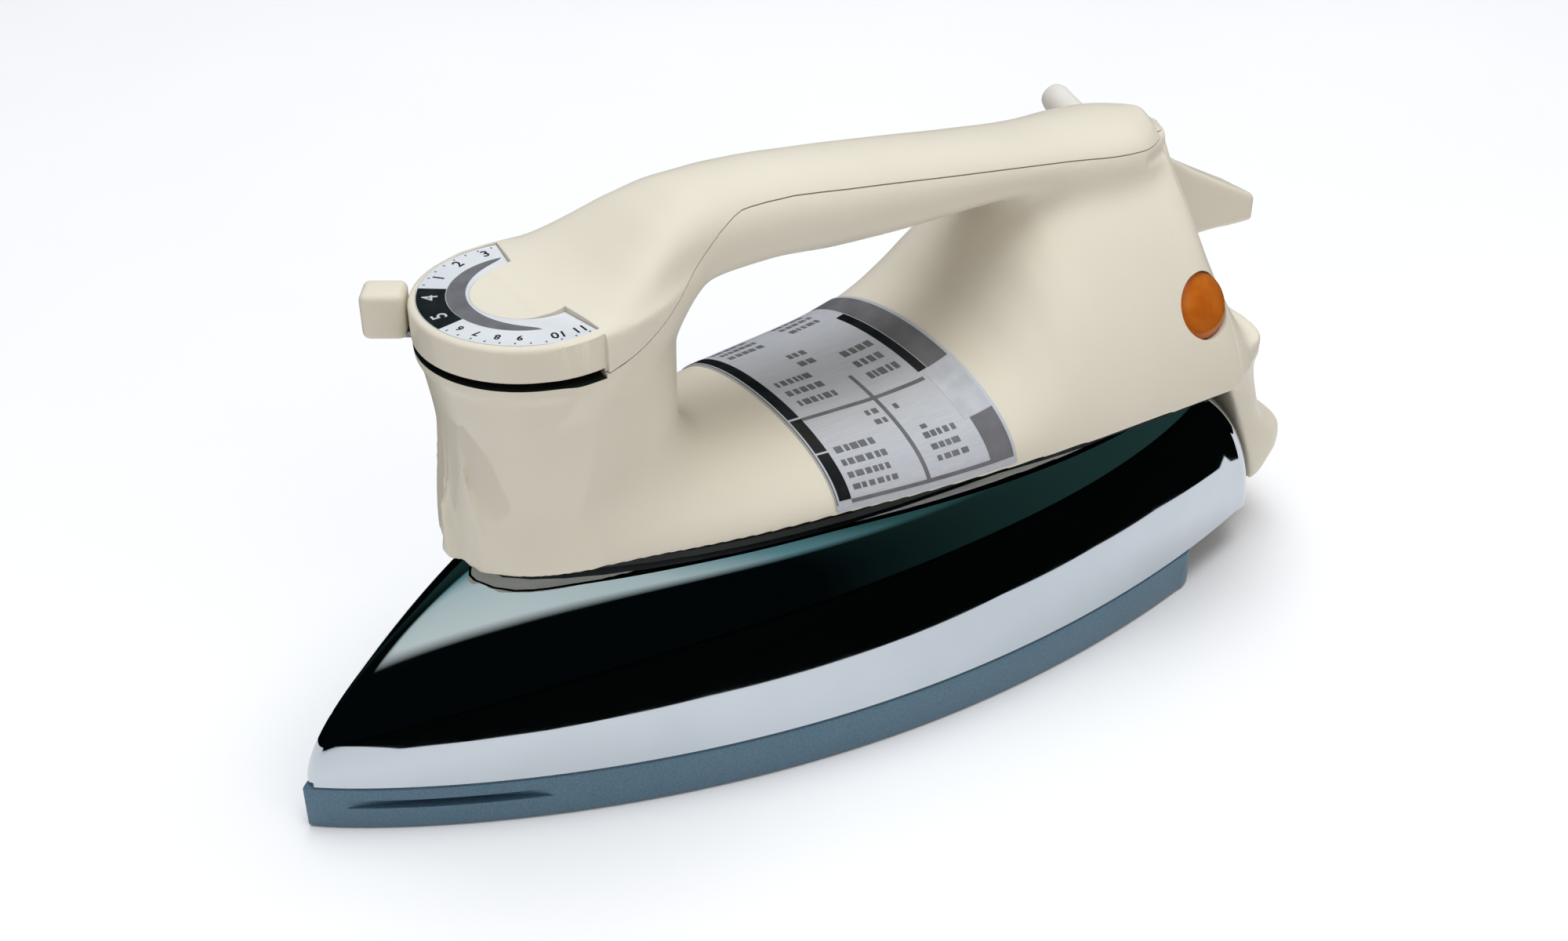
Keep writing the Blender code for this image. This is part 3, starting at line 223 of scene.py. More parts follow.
def brushed(name, dark, light, rough=(0.25, 0.4), along="x", metallic=1.0):
    """Metal with fine lines along one axis."""
    scales = {"x": (60.0, 2600.0, 2600.0), "y": (2600.0, 60.0, 2600.0), "z": (2600.0, 2600.0, 60.0)}
    recipe = Recipe(name)
    lines = recipe.noise(1.0, 3.0, 0.6, recipe.stretched(scales[along]))
    recipe.color(recipe.ramp(lines, [(0.3, dark), (0.7, light)]))
    recipe.roughness(recipe.between(lines, *rough))
    recipe.bump(lines, 0.00001, 0.4)
    recipe.set(Metallic=metallic)
    return recipe.material


def amber_lens():
    recipe = Recipe("amber_lens")
    recipe.color(recipe.ramp(recipe.noise(260.0), [(0.3, (0.66, 0.15, 0.010)), (0.7, (0.80, 0.22, 0.016))]))
    recipe.roughness(recipe.between(recipe.noise(300.0), 0.12, 0.22))
    recipe.bump(recipe.noise(900.0, 1.0), 0.00002, 0.3)
    recipe.set(Transmission_Weight=0.35, IOR=1.49, Coat_Weight=0.3, Coat_Roughness=0.08)
    return recipe.material


def clear_glass():
    recipe = Recipe("bulb_glass")
    recipe.color(recipe.ramp(recipe.noise(200.0), [(0.3, (0.88, 0.86, 0.84)), (0.7, (0.95, 0.94, 0.93))]))
    recipe.roughness(recipe.between(recipe.noise(150.0), 0.02, 0.08))
    recipe.set(Transmission_Weight=0.9, IOR=1.5)
    return recipe.material


def woven(name, dark, light):
    """Braided sleeving."""
    recipe = Recipe(name)
    weave = recipe.node("ShaderNodeTexWave", wave_type="BANDS", bands_direction="DIAGONAL")
    weave.inputs["Scale"].default_value = 420.0
    weave.inputs["Distortion"].default_value = 2.0
    recipe.links.new(recipe.place, weave.inputs["Vector"])
    recipe.color(recipe.ramp(weave.outputs["Fac"], [(0.2, dark), (0.8, light)]))
    recipe.bump(weave.outputs["Fac"], 0.0001, 0.6)
    recipe.set(Roughness=0.85, Sheen_Weight=0.2)
    return recipe.material


def ink(name, dark, light, rough=(0.35, 0.5)):
    return mottled(name, dark, light, rough, 200.0, 2000.0, 0.00001)


LOOKS = {
    "cream": cream_moulding(),
    "chrome": chrome_plate(),
    "sole": sole_coat(),
    "black": mottled(
        "black_phenolic", (0.008, 0.012, 0.011), (0.016, 0.022, 0.020), (0.35, 0.5), 50.0, 700.0, 0.00002
    ),
    "iron": mottled(
        "rough_iron", (0.045, 0.043, 0.042), (0.10, 0.095, 0.09), (0.55, 0.8), 90.0, 420.0, 0.00015,
        Metallic=0.6,
    ),
    "zinc": brushed("zinc_steel", (0.42, 0.42, 0.44), (0.62, 0.62, 0.60), (0.3, 0.45), "z"),
    "steel": brushed("spring_steel", (0.34, 0.34, 0.35), (0.52, 0.52, 0.53), (0.25, 0.4), "y"),
    "brass": brushed("worked_brass", (0.56, 0.38, 0.13), (0.74, 0.55, 0.24), (0.22, 0.38), "z"),
    "bimetal": brushed("bimetal_strip", (0.50, 0.30, 0.18), (0.64, 0.42, 0.28), (0.3, 0.45), "y"),
    "silver": brushed("contact_silver", (0.66, 0.66, 0.64), (0.84, 0.84, 0.82), (0.15, 0.3), "x"),
    "sheath": mottled(
        "element_sheath", (0.14, 0.12, 0.11), (0.30, 0.27, 0.24), (0.45, 0.65), 120.0, 900.0, 0.00004,
        Metallic=0.9,
    ),
    "ceramic": mottled(
        "white_ceramic", (0.66, 0.63, 0.56), (0.80, 0.78, 0.72), (0.35, 0.6), 160.0, 1600.0, 0.00005
    ),
    "heat": brushed("heat_sheet", (0.44, 0.36, 0.20), (0.58, 0.50, 0.34), (0.35, 0.5), "y", 0.8),
    "gland": mottled(
        "gland_rubber", (0.66, 0.63, 0.57), (0.74, 0.71, 0.65), (0.5, 0.65), 90.0, 1200.0, 0.00003
    ),
    "lens": amber_lens(),
    "glass": clear_glass(),
    "sleeve": woven("lead_sleeve", (0.48, 0.45, 0.36), (0.74, 0.71, 0.62)),
    "live": woven("live_sleeve", (0.26, 0.04, 0.025), (0.48, 0.11, 0.07)),
    "plate": brushed("label_plate", (0.58, 0.60, 0.64), (0.66, 0.68, 0.72), (0.30, 0.42), "y", 0.25),
    "dial": mottled(
        "dial_plate", (0.70, 0.72, 0.76), (0.80, 0.82, 0.85), (0.3, 0.42), 60.0, 1500.0, 0.00001,
        Metallic=0.15,
    ),
    "ink": ink("black_ink", (0.006, 0.007, 0.008), (0.016, 0.017, 0.018), (0.3, 0.45)),
    "grey_ink": ink("grey_ink", (0.13, 0.13, 0.14), (0.17, 0.17, 0.18)),
    "pale_ink": ink("pale_ink", (0.46, 0.48, 0.51), (0.56, 0.58, 0.61)),
    # Dark cloth for the stage; on the skirt round the cream foot it is painted shade.
    "cloth": mottled(
        "dark_cloth_and_painted_shade", (0.0008, 0.0012, 0.0012), (0.0016, 0.0022, 0.0022), (0.9, 1.0), 3.0, 90.0, 0.00002,
        Specular_IOR_Level=0.0,
    ),
    "floor": mottled("floor", (0.93, 0.93, 0.93), (0.95, 0.95, 0.95), (0.55, 0.65), 3.0, 90.0, 0.00002),
}

FRAME_LOOKS = {
    # base_gasket is a black insulating plate whose edge also serves as painted shade: the dark line in the
    # gap under the cream form.
    "black": "base_gasket lamp_holder terminal_block",
    "iron": "weight_plate",
    "zinc": "tie_stud_front tie_nut_front plate_stud_left plate_nut_left plate_stud_right plate_nut_right"
    " tie_screw_rear_left tie_screw_rear_right stack_screw heel_cover_screw cord_clamp",
    "steel": "thermostat_base thermostat_bridge contact_arm_root contact_arm control_shaft detent_washer"
    " selector_lever",
    "brass": "element_pin_left element_pin_right setting_arm_root setting_arm adjusting_screw shaft_bush"
    " terminal_screw_1 terminal_screw_2 terminal_screw_3",
    "bimetal": "bimetal_root bimetal_blade",
    "silver": "contact_lower contact_upper",
    "sheath": "heating_element",
    "ceramic": "element_bead_left element_bead_right lamp_resistor spacer_lower spacer_middle spacer_upper"
    " lifting_pin",
    "heat": "heat_shield",
    "glass": "neon_bulb",
    "sleeve": "lead_neutral lead_heater",
    "live": "lead_live",
    "cream": "handle_body top_cover heel_cover heel_lug selector_knob",
    "chrome": "chrome_cover",
    "sole": "soleplate",
    "plate": "rating_label",
    "dial": "dial_scale",
    "lens": "pilot_lens",
    "gland": "cord_gland",
}


def dress_frame():
    for look, names in FRAME_LOOKS.items():
        for name in names.split():
            node = frame["nodes"][name]
            node.data.materials.clear()
            node.data.materials.append(LOOKS[look])


# ---- mesh helpers


def world(x, station, z):
    """The frame's point, in metres, for a place given in millimetres."""
    return Vector((x, station - HALF_LENGTH, z)) / MM


def smoothstep(low, high, value):
    share = np.clip((value - low) / (high - low), 0.0, 1.0)
    return share * share * (3.0 - 2.0 * share)


def curve(points):
    """A smooth function through (input, output) points, with no overshoot between them."""
    xs = np.array([p[0] for p in points], float)
    ys = np.array([p[1] for p in points], float)
    steps = np.diff(xs)
    slopes = np.diff(ys) / steps
    tangents = np.zeros_like(ys)
    tangents[0], tangents[-1] = slopes[0], slopes[-1]
    same = slopes[:-1] * slopes[1:] > 0
    with np.errstate(divide="ignore", invalid="ignore"):
        blend = 3 * (steps[:-1] + steps[1:]) / (
            (2 * steps[1:] + steps[:-1]) / slopes[:-1] + (steps[1:] + 2 * steps[:-1]) / slopes[1:]
        )
    tangents[1:-1] = np.where(same, blend, 0.0)

    def at_value(value):
        value = np.clip(np.asarray(value, float), xs[0], xs[-1])
        i = np.clip(np.searchsorted(xs, value, side="right") - 1, 0, len(xs) - 2)
        t = (value - xs[i]) / steps[i]
        a = (1 + 2 * t) * (1 - t) ** 2 * ys[i] + t * (1 - t) ** 2 * steps[i] * tangents[i]
        b = t * t * (3 - 2 * t) * ys[i + 1] + t * t * (t - 1) * steps[i] * tangents[i + 1]
        return a + b

    return at_value


def add_mesh(name, points, faces, look, smooth_angle=None):
    mesh = bpy.data.meshes.new(name)
    mesh.from_pydata([tuple(p) for p in points], [], [tuple(f) for f in faces])
    mesh.validate()
    mesh.materials.append(LOOKS[look])
    obj = bpy.data.objects.new(name, mesh)
    bpy.context.scene.collection.objects.link(obj)
    if smooth_angle is not None:
        smooth(obj, smooth_angle)
    return obj


def smooth(obj, angle=35.0):
    """Smooth shading, broken at edges sharper than the angle."""
    bm = bmesh.new()
    bm.from_mesh(obj.data)
    bmesh.ops.recalc_face_normals(bm, faces=bm.faces)
    limit = math.radians(angle)
    for face in bm.faces:
        face.smooth = True
    for edge in bm.edges:
        edge.smooth = len(edge.link_faces) == 2 and edge.calc_face_angle(0.0) < limit
    bm.to_mesh(obj.data)
    bm.free()


def grid_faces(rows, columns, closed):
    """Quads between rows of points. closed joins each row's last column to its first."""
    faces = []
    for r in range(rows - 1):
        for c in range(columns if closed else columns - 1):
            d = (c + 1) % columns
            faces.append((r * columns + c, r * columns + d, (r + 1) * columns + d, (r + 1) * columns + c))
    return faces


def lofted(name, rings, look, smooth_angle=35.0, capped=True):
    """A closed solid through rings of (x, station, z) points."""
    count = len(rings[0])
    points = [world(*p) for ring in rings for p in ring]
    faces = grid_faces(len(rings), count, True)
    if capped:
        faces.append(tuple(range(count)))
        last = (len(rings) - 1) * count
        faces.append(tuple(range(last, last + count)))
    return add_mesh(name, points, faces, look, smooth_angle)


def circles(profile, centre, axis, sides):
    """A ring of points round an axis for each (radius, height)."""
    axis = Vector(axis).normalized()
    across = axis.orthogonal().normalized()
    other = axis.cross(across)
    rings = []
    for radius, height in profile:
        ring = []
        for k in range(sides):
            angle = 2 * math.pi * k / sides
            out = across * math.cos(angle) + other * math.sin(angle)
            ring.append(Vector(centre) + axis * height + out * max(radius, 0.002))
        rings.append(ring)
    return rings


def turned(name, profile, centre, axis, look, sides=72):
    """A solid of revolution from (radius, height) points that run from the axis round to the axis."""
    return lofted(name, circles(profile, centre, axis, sides), look)


def solid_with_wall(obj, thickness):
    """Gives a surface a wall that grows inwards."""
    wall = obj.modifiers.new("wall", "SOLIDIFY")
    wall.thickness = thickness / MM
    wall.offset = -1.0
    return apply_modifiers(obj)


def apply_modifiers(obj):
    graph = bpy.context.evaluated_depsgraph_get()
    mesh = bpy.data.meshes.new_from_object(obj.evaluated_get(graph))
    obj.modifiers.clear()
    old = obj.data
    obj.data = mesh
    bpy.data.meshes.remove(old)
    return obj


def cut(obj, cutter):
    """Takes one shape out of another, and throws it away."""
    bpy.context.view_layer.update()
    modifier = obj.modifiers.new("cut", "BOOLEAN")
    modifier.operation = "DIFFERENCE"
    modifier.solver = "MANIFOLD"
    modifier.object = cutter
    apply_modifiers(obj)
    bpy.data.objects.remove(cutter)
    return obj


def box_mesh(name, low, high, look="cream"):
    """A plain box between two (x, station, z) corners."""
    across, along, up = zip(low, high)
    corners = [world(x, s, z) for x in across for s in along for z in up]
    faces = [(0, 1, 3, 2), (4, 6, 7, 5), (0, 4, 5, 1), (2, 3, 7, 6), (0, 2, 6, 4), (1, 5, 7, 3)]
    obj = add_mesh(name, corners, faces, look)
    smooth(obj, 10.0)
    return obj


def prism(name, outline, half_width):
    """A block with a (station, z) side outline, reaching half_width each way across the iron."""
    count = len(outline)
    points = [world(side * half_width, s, z) for side in (-1, 1) for s, z in outline]
    faces = [tuple(range(count)), tuple(range(2 * count - 1, count - 1, -1))]
    faces += [(i, i + count, (i + 1) % count + count, (i + 1) % count) for i in range(count)]
    obj = add_mesh(name, points, faces, "cream")
    smooth(obj, 10.0)
    return obj


def slab(name, outline, low, high, look="cream"):
    """A block with an (x, station) plan outline between two heights."""
    rings = [[(x, s, z) for x, s in outline] for z in (low, high)]
    return lofted(name, rings, look, 10.0)


# ---- the cream form, as a field of distances

STEP = 0.7
FIELD_LOW = np.array((-42.7, 33.6, 49.0))
FIELD_COUNT = (123, 260, 103)

base_half_width = curve(
    [(37.8, 0.3), (38.6, 4.6), (40.0, 7.6), (42.5, 10.6), (47.0, 13.9), (52.9, 16.7), (64.0, 21.2),
     (79.0, 25.6), (92.0, 28.5), (107.8, 31.1), (128.0, 34.3), (149.0, 36.6), (180.0, 38.3), (214.0, 38.8)]
)
crown_rise = curve(
    [(37.8, 10.5), (48.0, 12.4), (80.0, 12.9), (125.0, 13.0), (138.0, 13.9), (147.0, 16.4), (154.0, 21.0),
     (161.0, 29.5), (167.0, 39.0), (172.0, 45.0), (179.0, 48.6), (190.0, 50.3), (222.0, 50.0)]
)
grip_crest = curve(
    [(57.0, 103.6), (60.0, 104.9), (66.0, 107.4), (74.0, 111.6), (82.0, 115.9), (90.0, 118.5),
     (98.0, 119.15), (106.0, 118.8), (122.0, 117.1), (142.0, 114.4), (160.0, 111.7), (178.0, 109.3),
     (200.0, 107.9), (209.0, 106.6)]
)
grip_floor = curve(
    [(57.0, 90.0), (80.0, 95.0), (92.0, 99.0), (106.0, 99.4), (122.0, 97.9), (142.0, 97.2), (160.0, 97.3),
     (178.0, 96.0), (209.0, 95.0)]
)
grip_width = curve(
    [(57.0, 21.0), (62.0, 20.8), (67.0, 20.0), (73.0, 18.2), (78.0, 16.2), (84.0, 14.3), (92.0, 13.2),
     (106.0, 12.9), (122.0, 12.9), (142.0, 12.5), (160.0, 12.0), (180.0, 12.6), (192.0, 13.7),
     (199.0, 13.2), (204.0, 10.8), (207.0, 7.4), (208.6, 3.0)]
)
parting_height = curve(
    [(62.0, 96.7), (68.0, 98.2), (73.0, 100.0), (78.0, 102.2), (83.0, 105.5), (88.0, 109.5),
     (93.0, 113.0), (99.0, 115.0), (106.0, 114.9), (122.0, 113.0), (160.0, 107.6), (180.0, 105.1),
     (200.0, 103.2), (216.0, 102.2)]
)


def blend_union(first, second, radius):
    """The nearer of two surfaces, with a fillet where they meet."""
    share = np.clip(0.5 + 0.5 * (second - first) / radius, 0.0, 1.0)
    return second + (first - second) * share - radius * share * (1.0 - share)


def section_distance(first, second, first_half, second_half, power):
    """Distance from a superelliptic section, measured out from its centre and corrected for its slope."""
    level = ((first / first_half) ** power + (second / second_half) ** power + 1e-12) ** (1.0 / power)
    reach = np.sqrt(first * first + second * second)
    outwards = (reach + 0.0 * level) * (1.0 - 1.0 / np.maximum(level, 1e-3))
    slope = np.sqrt(sum(part * part for part in np.gradient(outwards, STEP)))
    return outwards / np.clip(slope, 1.0, 3.0)


pillar_rear = curve(
    [(53.0, 230.8), (58.0, 227.4), (62.0, 224.4), (66.0, 221.7), (70.0, 219.3), (75.0, 216.8), (80.0, 215.2),
     (85.0, 214.4), (90.0, 213.9), (99.0, 213.4)]
)


def pillar_half_width(z):
    share = np.clip((z - BASE_Z) / PILLAR_RISE, 0.0, 1.0)
    return np.maximum(PILLAR_HALF_WIDTH * (1.0 - share**1.5) ** (1.0 / 1.5), 8.0)


def pillar_corner(across, s, z, shrink=0.0, spare=0.0):
    """Distance from the rounded rear corners of the handle."""
    depth = np.maximum(pillar_rear(z) - shrink - HEEL_CORNER, 1.0)
    half = pillar_half_width(z) + spare - shrink
    back = np.maximum(s - HEEL_CORNER, 0.0)
    return section_distance(across, back + 0.0 * z, half + 0.0 * s, depth, 2.6)


def saddle_field(across, s, z):
    """The low body that runs from the nose to the pillar."""
    rise = np.maximum(z - BASE_Z, 0.0)
    lean = 0.13 * smoothstep(170.0, 212.0, s)
    nominal = s + lean * rise
    power = 2.05 - 0.50 * smoothstep(150.0, 178.0, nominal)
    body = section_distance(across, rise, base_half_width(nominal), crown_rise(nominal), power)
    body = np.maximum(body, BODY_FRONT - s + 0.0 * z)
    corner_side = pillar_corner(across, s, z, 0.0, 0.3)
    return np.where(s > HEEL_CORNER, np.maximum(body, corner_side), body)


column_front = curve([(50.0, 38.0), (66.0, 38.2), (80.0, 38.2), (89.0, 37.1), (97.6, 35.8), (104.0, 35.6)])
column_half_width = curve(
    [(50.0, 16.6), (60.0, 18.2), (72.0, 19.9), (88.0, 21.0), (97.6, 21.7), (104.0, 21.9)]
)
column_rear = curve([(50.0, 86.5), (66.0, 86.5), (88.0, 86.5), (104.0, 88.0)])
column_point = curve([(50.0, 1.30), (66.0, 1.25), (80.0, 1.12), (90.0, 1.02), (104.0, 1.0)])


def column_field(across, off, z):
    """The column under the dial, drawn to a blunt point towards the nose."""
    half = column_half_width(z)
    reach = np.where(off < 0, DIAL_STATION - column_front(z), column_rear(z) - DIAL_STATION)
    drawn = np.where(off < 0, 2.0 / column_point(z), 2.0)
    narrowed = half * (np.maximum(across, 1e-6) / half) ** (1.0 - drawn / 2.0)
    wide, deep = across + 0.0 * off + 0.0 * z, np.abs(off) + 0.0 * across
    return np.maximum(section_distance(wide, deep, narrowed, reach, 2.0), z - 103.0)


def grip_field(across, s, z):
    crest, floor = grip_crest(s), grip_floor(s)
    power = 2.15 + 1.6 * (1.0 - smoothstep(70.0, 97.0, s))
    middle, tall = (crest + floor) / 2.0, (crest - floor) / 2.0
    grip = section_distance(across, np.abs(z - middle), grip_width(s), tall, power)
    return np.maximum(grip, np.maximum(57.0 - s, s - 208.4) + 0.0 * z)


def cap_field(x, off, z):
    """The round cap that holds the dial, with a rounded edge."""
    corner = 0.9
    radial = np.sqrt(x * x + off * off) - CAP_RADIUS - 0.04 * (z - 100.0)
    level = np.abs(z - CAP_MIDDLE_Z) - (CAP_TOP - CAP_MIDDLE_Z)
    outside = np.sqrt(np.maximum(radial + corner, 0.0) ** 2 + np.maximum(level + corner, 0.0) ** 2) - corner
    return np.where((radial > -corner) & (level > -corner), outside, np.maximum(radial, level))


def grid_axes(low, count):
    """The x, station and z of every point of a grid."""
    axes = [low[k] + STEP * np.arange(count[k]) for k in range(3)]
    return np.meshgrid(*axes, indexing="ij", sparse=True)


def cream_field():
    """Distance from the outside of the cream moulding at every point of the grid, negative inside."""
    x, s, z = grid_axes(FIELD_LOW, FIELD_COUNT)
    across, off = np.abs(x), s - DIAL_STATION
    form = blend_union(saddle_field(across, s, z), column_field(across, off, z), 9.0)
    form = blend_union(form, grip_field(across, s, z), 7.0)
    form = blend_union(form, cap_field(x, off, z), 1.6)
    return np.maximum(form, BASE_Z - z).astype(np.float32)


def surface_of(field, name, level=0.0, corner=FIELD_LOW):
    """The mesh where the field crosses a level."""
    grid = openvdb.FloatGrid(background=20.0)
    grid.copyFromArray(np.ascontiguousarray(field))
    points, triangles, quads = grid.convertToPolygons(isovalue=level, adaptivity=0.0)
    place = corner + STEP * points
    place[:, 1] -= HALF_LENGTH
    faces = [tuple(q) for q in quads.tolist()] + [tuple(t) for t in triangles.tolist()]
    obj = add_mesh(name, (place / MM).tolist(), faces, "cream")
    smooth(obj, 180.0)
    return obj


def relaxed(obj, passes):
    """Evens out the small steps that the grid leaves."""
    modifier = obj.modifiers.new("relax", "SMOOTH")
    modifier.factor = 0.5
    modifier.iterations = passes
    return apply_modifiers(obj)


def copy_of(obj, name):
    made = obj.copy()
    made.data = obj.data.copy()
    made.name = name
    bpy.context.scene.collection.objects.link(made)
    return made


def parting_block(name, offset, above):
    """All that lies above the seam between the two cream mouldings, or below it."""
    stations = np.concatenate([[20.0], np.arange(62.0, 104.0, 2.0), np.arange(104.0, 216.0, 6.0), [230.0]])
    line = [(float(s), float(parting_height(s)) + offset) for s in stations]
    edge = 140.0 if above else 40.0
    return prism(name, line + [(230.0, edge), (20.0, edge)], 60.0)


def slot_block(name, low, high):
    """The fan that the selector's lever sweeps, between two heights."""
    outline = []
    for i in range(49):
        angle = math.radians(SLOT_HALF_ANGLE * (i / 24 - 1))
        outline.append((30.0 * math.sin(angle), DIAL_STATION - 30.0 * math.cos(angle)))
    outline += [(3.5, DIAL_STATION + 4.0), (-3.5, DIAL_STATION + 4.0)]
    # The cutter carries the black look, as painted shade meant for the slot's cut faces.
    return slab(name, outline, low, high, "black")


def sector(inner, outer, start, end, steps=48):
    """A ring sector round the dial's centre, as (x, station) points. Angles are degrees from the nose."""
    angles = [math.radians(start + (end - start) * i / steps) for i in range(steps + 1)]
    ring = [(outer * math.sin(a), DIAL_STATION - outer * math.cos(a)) for a in angles]
    ring += [(inner * math.sin(a), DIAL_STATION - inner * math.cos(a)) for a in reversed(angles)]
    return ring


def rod(name, low, high, radius, centre, axis):
    """A round bar between two distances along an axis."""
    return turned(name, [(0, low), (radius, low), (radius, high), (0, high)], centre, axis, "cream")


def lamp_rod(name, low, high, radius):
    return rod(name, low, high, radius, LAMP_CENTRE, LAMP_AXIS)


def paint_slot_shade(piece, height):
    """Paints shade on the flat faces of the selector's slot: these cream faces get the black look, standing
    for the shade down in the slot.
    """
    piece.data.materials.append(LOOKS["black"])
    black = len(piece.data.materials) - 1
    for face in piece.data.polygons:
        near = abs(face.center.z * MM - height) < 0.05
        if near and abs(face.normal.z) > 0.9:
            face.material_index = black


def build_cream_body(field):
    """The two cream mouldings: one form, parted along the seam and hollowed."""
    outer = relaxed(surface_of(field, "outer_surface"), 3)
    hollow = surface_of(field, "inner_surface", -WALL)

    top = copy_of(outer, "grip_cover")
    cut(top, copy_of(hollow, "top_hollow"))
    cut(top, parting_block("below_parting", HALF_SEAM_GAP, False))
    cut(top, slot_block("top_slot", 80.0, SLOT_HIGH))
    cut(top, slab("knob_sweep", sector(22.45, 34.0, -100, 100), 94.0, 108.0))
    cut(top, slab("dial_recess", sector(11.0, 21.0, -100, 100), 104.15, 120.0))

    body = copy_of(outer, "handle_shell")
    cut(body, hollow)
    cut(body, parting_block("above_parting", -HALF_SEAM_GAP, True))
    cut(body, slot_block("body_slot", SLOT_LOW, 120.0))
    cut(body, box_mesh("behind_seam", (-60.0, SEAM_STATION, 40.0), (60.0, 240.0, 101.0)))
    cut(body, box_mesh("open_foot", (-60.0, 20.0, 40.0), (60.0, 240.0, BASE_Z + 0.15)))
    cut(body, lamp_rod("lamp_hole", -12.0, 10.0, 6.2))
    cut(body, lamp_rod("lamp_seat", -0.6, 10.0, 7.6))
    cut(body, rod("gland_hole", 0, 24, 3.8, GLAND_CENTRE, GLAND_AXIS))
    bpy.data.objects.remove(outer)
    # Painted shade: the slot's flat faces are coloured black.
    paint_slot_shade(body, SLOT_LOW)
    paint_slot_shade(top, SLOT_HIGH)
    for piece, node in ((top, "top_cover"), (body, "handle_body")):
        smooth(piece, 40.0)
        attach(piece, "iron")
        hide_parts(node)


# ---- pieces that lie on the cream form


def sampled(field, points):
    """The field between its grid points."""
    spot = (points - FIELD_LOW) / STEP
    cell = np.clip(np.floor(spot).astype(int), 0, np.array(field.shape) - 2)
    part = spot - cell
    total = np.zeros(len(points))
    for corner in range(8):
        step = np.array([(corner >> k) & 1 for k in range(3)])
        weight = np.prod(np.where(step == 1, part, 1.0 - part), axis=1)
        index = cell + step
        total += weight * field[index[:, 0], index[:, 1], index[:, 2]]
    return total


def settled(field, points, lift):
    """Points moved straight out of the surface, or into it, until they stand at a height above it."""
    points = np.array(points, float)
    for _ in range(8):
        slope = np.empty_like(points)
        for k in range(3):
            side = np.zeros(3)
            side[k] = 0.8
            slope[:, k] = (sampled(field, points + side) - sampled(field, points - side)) / 1.6
        size = np.maximum((slope * slope).sum(axis=1), 0.05)
        points -= ((sampled(field, points) - lift) / size)[:, None] * slope
    return points


def saddle_patch(name, look, stations, angles, lifts, field, spacing=0.8):
    """A thin plate bent over the saddle, between two stations and two angles from its crown, in degrees."""
    rows = max(2, int(abs(stations[1] - stations[0]) / spacing) + 2)
    columns = max(2, int(abs(angles[1] - angles[0]) * 0.5 / spacing) + 2)
    spots = []
    for station in np.linspace(stations[0], stations[1], rows):
        for angle in np.radians(np.linspace(angles[0], angles[1], columns)):
            half, rise = float(base_half_width(station)), float(crown_rise(station))
            spots.append((half * math.sin(angle), station, BASE_Z + rise * math.cos(angle)))
    low = settled(field, spots, lifts[0])
    high = settled(field, spots, lifts[1])
    count = rows * columns
    points = [world(*p) for p in low] + [world(*p) for p in high]
    faces = []
    for a, b, c, d in grid_faces(rows, columns, False):
        faces.append((a, b, c, d))
        faces.append((d + count, c + count, b + count, a + count))
    rim = list(range(columns))
    rim += [r * columns + columns - 1 for r in range(1, rows)]
    rim += [(rows - 1) * columns + c for c in range(columns - 2, -1, -1)]
    rim += [r * columns for r in range(rows - 2, 0, -1)]
    for i, a in enumerate(rim):
        b = rim[(i + 1) % len(rim)]
        faces.append((b, a, a + count, b + count))
    return add_mesh(name, points, faces, look, 40.0)


def joined(name, pieces):
    """Several meshes as one object."""
    bm = bmesh.new()
    for piece in pieces:
        bm.from_mesh(piece.data)
    first = pieces[0]
    bm.to_mesh(first.data)
    bm.free()
    for piece in pieces[1:]:
        bpy.data.objects.remove(piece)
    first.name = name
    return first


def on_iron(piece, slot_name, *nodes):
    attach(piece, "iron")
    if nodes:
        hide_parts(*nodes)
    return piece


TEXT_BLOCKS = (
    (111.6, 121.8, 42.0, 74.0, 4), (131.0, 138.6, 48.0, 70.0, 3), (123.4, 126.6, 28.0, 40.0, 2),
    (112.4, 122.0, -3.0, 19.0, 3), (121.5, 126.2, -19.0, -4.0, 2), (131.0, 139.0, -8.0, 17.0, 3),
    (129.6, 132.0, 29.0, 35.0, 1), (131.5, 134.0, 44.0, 49.0, 1), (112.0, 122.0, -54.0, -30.0, 3),
    (129.5, 138.5, -56.0, -32.0, 3),
)


def label_print(name, field, patches):
    """Printed areas of the label as one piece, each a (look, stations, angles)."""
    pieces = [saddle_patch("ink", *patch, LABEL_INK, field) for patch in patches]
    on_iron(joined(name, pieces), "label_plate")


def text_marks():
    """Short bars in rows, in place of words. Each block is (front, rear, top angle, bottom angle, rows)."""
    draw = np.random.default_rng(7)
    marks = []
    for front, rear, top, bottom, rows in TEXT_BLOCKS:
        pitch = (bottom - top) / rows
        for row in range(rows):
            angle = top + pitch * (row + 0.2)
            station = front + 0.5 * float(draw.random())
            while station < rear - 0.8:
                long = 0.7 + 1.1 * float(draw.random())
                end = min(station + long, rear)
                marks.append(("grey_ink", (station, end), (angle, angle + pitch * 0.48)))
                station = end + 0.3 + 0.35 * float(draw.random())
    return marks


